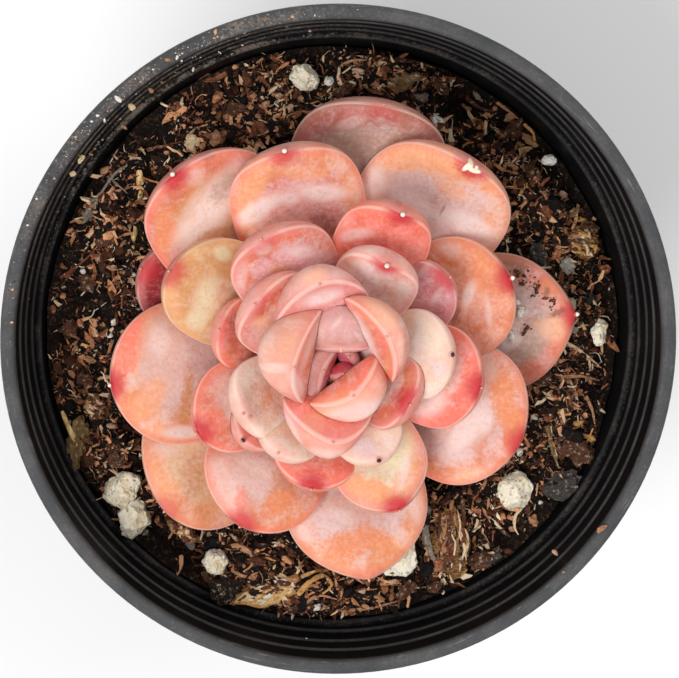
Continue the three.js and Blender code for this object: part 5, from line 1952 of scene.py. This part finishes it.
def packed_copy(node, name, levels):
    """A finer copy of a packed lump: merged, subdivided and brought back to the lump's own box."""
    mesh = frame["nodes"][node].data.copy()
    work = bmesh.new()
    work.from_mesh(mesh)
    bmesh.ops.remove_doubles(work, verts=work.verts, dist=1e-6)
    bmesh.ops.dissolve_limit(work, angle_limit=math.radians(4), verts=work.verts, edges=work.edges)
    work.to_mesh(mesh)
    work.free()
    mesh.materials.clear()
    piece = bpy.data.objects.new(name, mesh)
    bpy.context.scene.collection.objects.link(piece)
    bevel = piece.modifiers.new("edges", "BEVEL")
    bevel.width = 0.00035
    bevel.segments = 2
    bevel.limit_method = "ANGLE"
    finer = piece.modifiers.new("finer", "SUBSURF")
    finer.subdivision_type = "SIMPLE"
    finer.levels = levels
    finer.render_levels = levels
    mesh = applied(piece, name)
    low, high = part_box(node)
    points = np.array([vertex.co for vertex in mesh.vertices])
    shrunk_low = points.min(0)
    shrunk_high = points.max(0)
    full_size = np.array(high) - np.array(low)
    points = (points - shrunk_low) / (shrunk_high - shrunk_low) * full_size + np.array(low)
    mesh.vertices.foreach_set("co", points.ravel())
    mesh.update()
    return piece


def roughen(mesh, relief):
    """Moves each point along its normal by what relief, in millimetres, gives for its place."""
    normals = [vertex.normal.copy() for vertex in mesh.vertices]
    for vertex, normal in zip(mesh.vertices, normals):
        vertex.co = vertex.co + normal * relief(vertex.co / MM) * MM
    mesh.update()


def stone_relief(place):
    """Angular faces broken by pits."""
    broad = noise.noise(place * 0.5) * 0.34
    fine = noise.noise(place * 1.9) * 0.16
    near = noise.voronoi(place * 1.5)[0]
    pit = max(0.0, 0.36 - near[0]) * 0.8
    return broad + fine - pit


def stone_finish(name, pale, shade_tone):
    finish = Finish(name, Specular_IOR_Level=0.2, Subsurface_Weight=0.05, Subsurface_Scale=0.001)
    place = finish.place()
    broad = finish.noise(place, 0.0024, detail=4.0)
    grit = finish.noise(place, 0.0004, detail=4.0, roughness=0.7)
    pits = finish.smooth(finish.noise(place, 0.0007, detail=2.0), 0.4, 0.32)
    colour = finish.ramp(broad * 0.5 + grit * 0.5, (0.34, shade_tone), (0.48, pale), (0.66, "f6efe2"))
    dirt = finish.smooth(finish.noise(place, 0.0014, detail=5.0, roughness=0.7), 0.56, 0.68)
    colour = finish.mix(dirt * 0.4, colour, tone("a8825c"))
    # Darker in the pits, which the bump sinks: painted shade in the pores
    colour = finish.mix(pits * 0.5, colour, tone("7c6450"))
    return finish.paint(colour, 0.85 + grit * 0.15, grit - pits, depth=0.0003, strength=0.7)


class ECHEVERIA_OT_stones(bpy.types.Operator):
    """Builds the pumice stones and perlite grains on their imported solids"""

    bl_idname = "echeveria.stones"
    bl_label = "Pumice and Perlite"

    def execute(self, context):
        pumice = stone_finish("pumice_finish", "f8ecd2", "dcc090")
        perlite = stone_finish("perlite_finish", "fffcf6", "e8dece")
        for node in sorted(frame["nodes"]):
            if node.startswith("pumice_stone"):
                piece = packed_copy(node, node + "_rock", 3)
                roughen(piece.data, stone_relief)
                piece.data.materials.append(pumice)
                shade(piece.data, ROUGH_CREASE)
                settle(piece, "pumice", node)
            elif node.startswith("perlite_grain"):
                piece = packed_copy(node, node + "_rock", 2)
                roughen(piece.data, lambda place: 0.5 * stone_relief(place * 1.6))
                piece.data.materials.append(perlite)
                shade(piece.data, ROUGH_CREASE)
                settle(piece, "perlite", node)
        return {"FINISHED"}


def bark_relief(place):
    """Long splinters with grooves between them."""
    along = Vector((place.x * 0.35, place.y * 2.3, place.z * 1.6))
    return noise.noise(along) * 0.6 + noise.noise(place * 2.5) * 0.18


def splinters(mesh, kind, draw):
    """Frayed fibres that lie along the top of a chip: parts of points, faces and a tone."""
    count, radius, curl, tones = kind
    points = np.array([vertex.co for vertex in mesh.vertices]) / MM
    centre = points.mean(0)
    _, axes = np.linalg.eigh(np.cov((points - centre)[:, :2].T))
    long_way = axes[:, 1]
    cross_way = axes[:, 0]
    flat = (points - centre)[:, :2]
    half = np.abs(flat @ long_way).max()
    breadth = np.abs(flat @ cross_way).max()
    tree = BVHTree.FromPolygons([Vector(point) for point in points],
                                [list(face.vertices) for face in mesh.polygons])
    parts = []
    for _ in range(count):
        start = draw.uniform(-0.95, 0.5) * half
        length = draw.uniform(0.4, 1.1) * half
        side = draw.uniform(-0.85, 0.85) * breadth
        wave = draw.uniform(0, 2 * math.pi)
        line = []
        for step in range(7):
            along = start + length * step / 6
            swing = side + curl * math.sin(wave + 2.6 * step / 6 * 2) + 0.2 * draw.uniform(-1, 1)
            place = centre[:2] + long_way * along + cross_way * swing
            hit = tree.ray_cast(Vector((place[0], place[1], 90)), Vector((0, 0, -1)))
            if hit[0] is None:
                break
            line.append(hit[0] + Vector((0, 0, radius * draw.uniform(0.2, 1.0))))
        if len(line) > 3:
            thick = radius * draw.uniform(0.6, 1.3)

            def thickness(share, thick=thick):
                return thick * (1 - 0.8 * abs(2 * share - 1) ** 3)

            skin, faces = tube(smooth_line(line, 2), thickness, 6, squash=0.7)
            parts.append((skin, faces, litter_tone(draw.choice(tones))))
    return parts


class ECHEVERIA_OT_bark(bpy.types.Operator):
    """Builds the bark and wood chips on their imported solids"""

    bl_idname = "echeveria.bark"
    bl_label = "Bark Chips"

    def execute(self, context):
        finish = Finish("bark_finish", Specular_IOR_Level=0.3)
        place = finish.place()
        grain = finish.noise(finish.stretch(place, (1.0, 5.0, 2.0)), 0.0014, detail=6.0, roughness=0.75)
        splits = finish.noise(finish.stretch(place, (0.7, 6.0, 3.0)), 0.0007, detail=3.0)
        colour = finish.ramp(grain * 0.6 + splits * 0.4, (0.34, "1c0f08"), (0.42, "6e4426"), (0.5, "b47e48"),
                             (0.6, "deb078"), (0.7, "f6dcb0"))
        material = finish.paint(colour, 0.65 + grain * 0.3, grain + splits, depth=0.0008, strength=1.0)
        draw = random.Random(context.scene.echeveria.mix.seed + 9)
        for node in sorted(frame["nodes"]):
            if node.startswith("bark_chip"):
                piece = packed_copy(node, node + "_wood", 3)
                roughen(piece.data, bark_relief)
                piece.data.materials.append(material)
                shade(piece.data, ROUGH_CREASE)
                settle(piece, "bark", node)
                tinted_piece(node + "_splinters", splinters(piece.data, SPLINTERS[node], draw), "bark")
        return {"FINISHED"}


class ECHEVERIA_OT_straws(bpy.types.Operator):
    """Builds the dry straws that lie on the mix"""

    bl_idname = "echeveria.straws"
    bl_label = "Straws"

    def execute(self, context):
        finish = Finish("straw_finish", Specular_IOR_Level=0.4)
        place = finish.place()
        grain = finish.noise(finish.stretch(place, (3.0, 0.8, 3.0)), 0.0012, detail=4.0)
        colour = finish.ramp(grain, (0.3, "9a6c34"), (0.5, "d8b676"), (0.72, "f4e4b8"))
        material = finish.paint(colour, 0.5 + grain * 0.2, grain, depth=0.0002)
        for node, (radius, places) in STRAWS.items():
            line = [(x, y, float(soil_height(x, y)) + radius) for x, y in places]
            draw = random.Random(len(places))

            def thickness(share, radius=radius, draw=draw):
                return radius * (0.55 + 0.45 * math.sin(math.pi * share) ** 0.5) * draw.uniform(0.85, 1.0)

            points, faces = tube(smooth_line(line, 8), thickness, 12, squash=0.7)
            piece = new_piece(node + "_stalk", points, faces, material)
            shade(piece.data, ROUGH_CREASE)
            settle(piece, "straw", node)
        return {"FINISHED"}


class ECHEVERIA_PT_panel(bpy.types.Panel):
    """Lists the pieces of the potted rosette"""

    bl_label = "Potted Echeveria"
    bl_idname = "ECHEVERIA_PT_panel"
    bl_space_type = "VIEW_3D"
    bl_region_type = "UI"
    bl_category = "Echeveria"

    def draw(self, context):
        for operator in PIECES:
            self.layout.operator(operator.bl_idname)


PIECES = [
    ECHEVERIA_OT_stage,
    ECHEVERIA_OT_pot,
    ECHEVERIA_OT_leaves,
    ECHEVERIA_OT_stem,
    ECHEVERIA_OT_mix,
    ECHEVERIA_OT_crumbs,
    ECHEVERIA_OT_litter,
    ECHEVERIA_OT_stones,
    ECHEVERIA_OT_bark,
    ECHEVERIA_OT_straws,
]


CLASSES = [
    EcheveriaLeafSettings,
    EcheveriaMixSettings,
    EcheveriaPotSettings,
    EcheveriaStageSettings,
    EcheveriaSettings,
    *PIECES,
    ECHEVERIA_PT_panel,
]


def register():
    for item in CLASSES:
        bpy.utils.register_class(item)
    bpy.types.Scene.echeveria = PointerProperty(type=EcheveriaSettings)


def unregister():
    del bpy.types.Scene.echeveria
    for item in reversed(CLASSES):
        bpy.utils.unregister_class(item)


def main():
    """Builds the stage and every piece."""
    register()
    for operator in PIECES:
        group, name = operator.bl_idname.split(".")
        getattr(getattr(bpy.ops, group), name)()


if __name__ == "__main__":
    main()
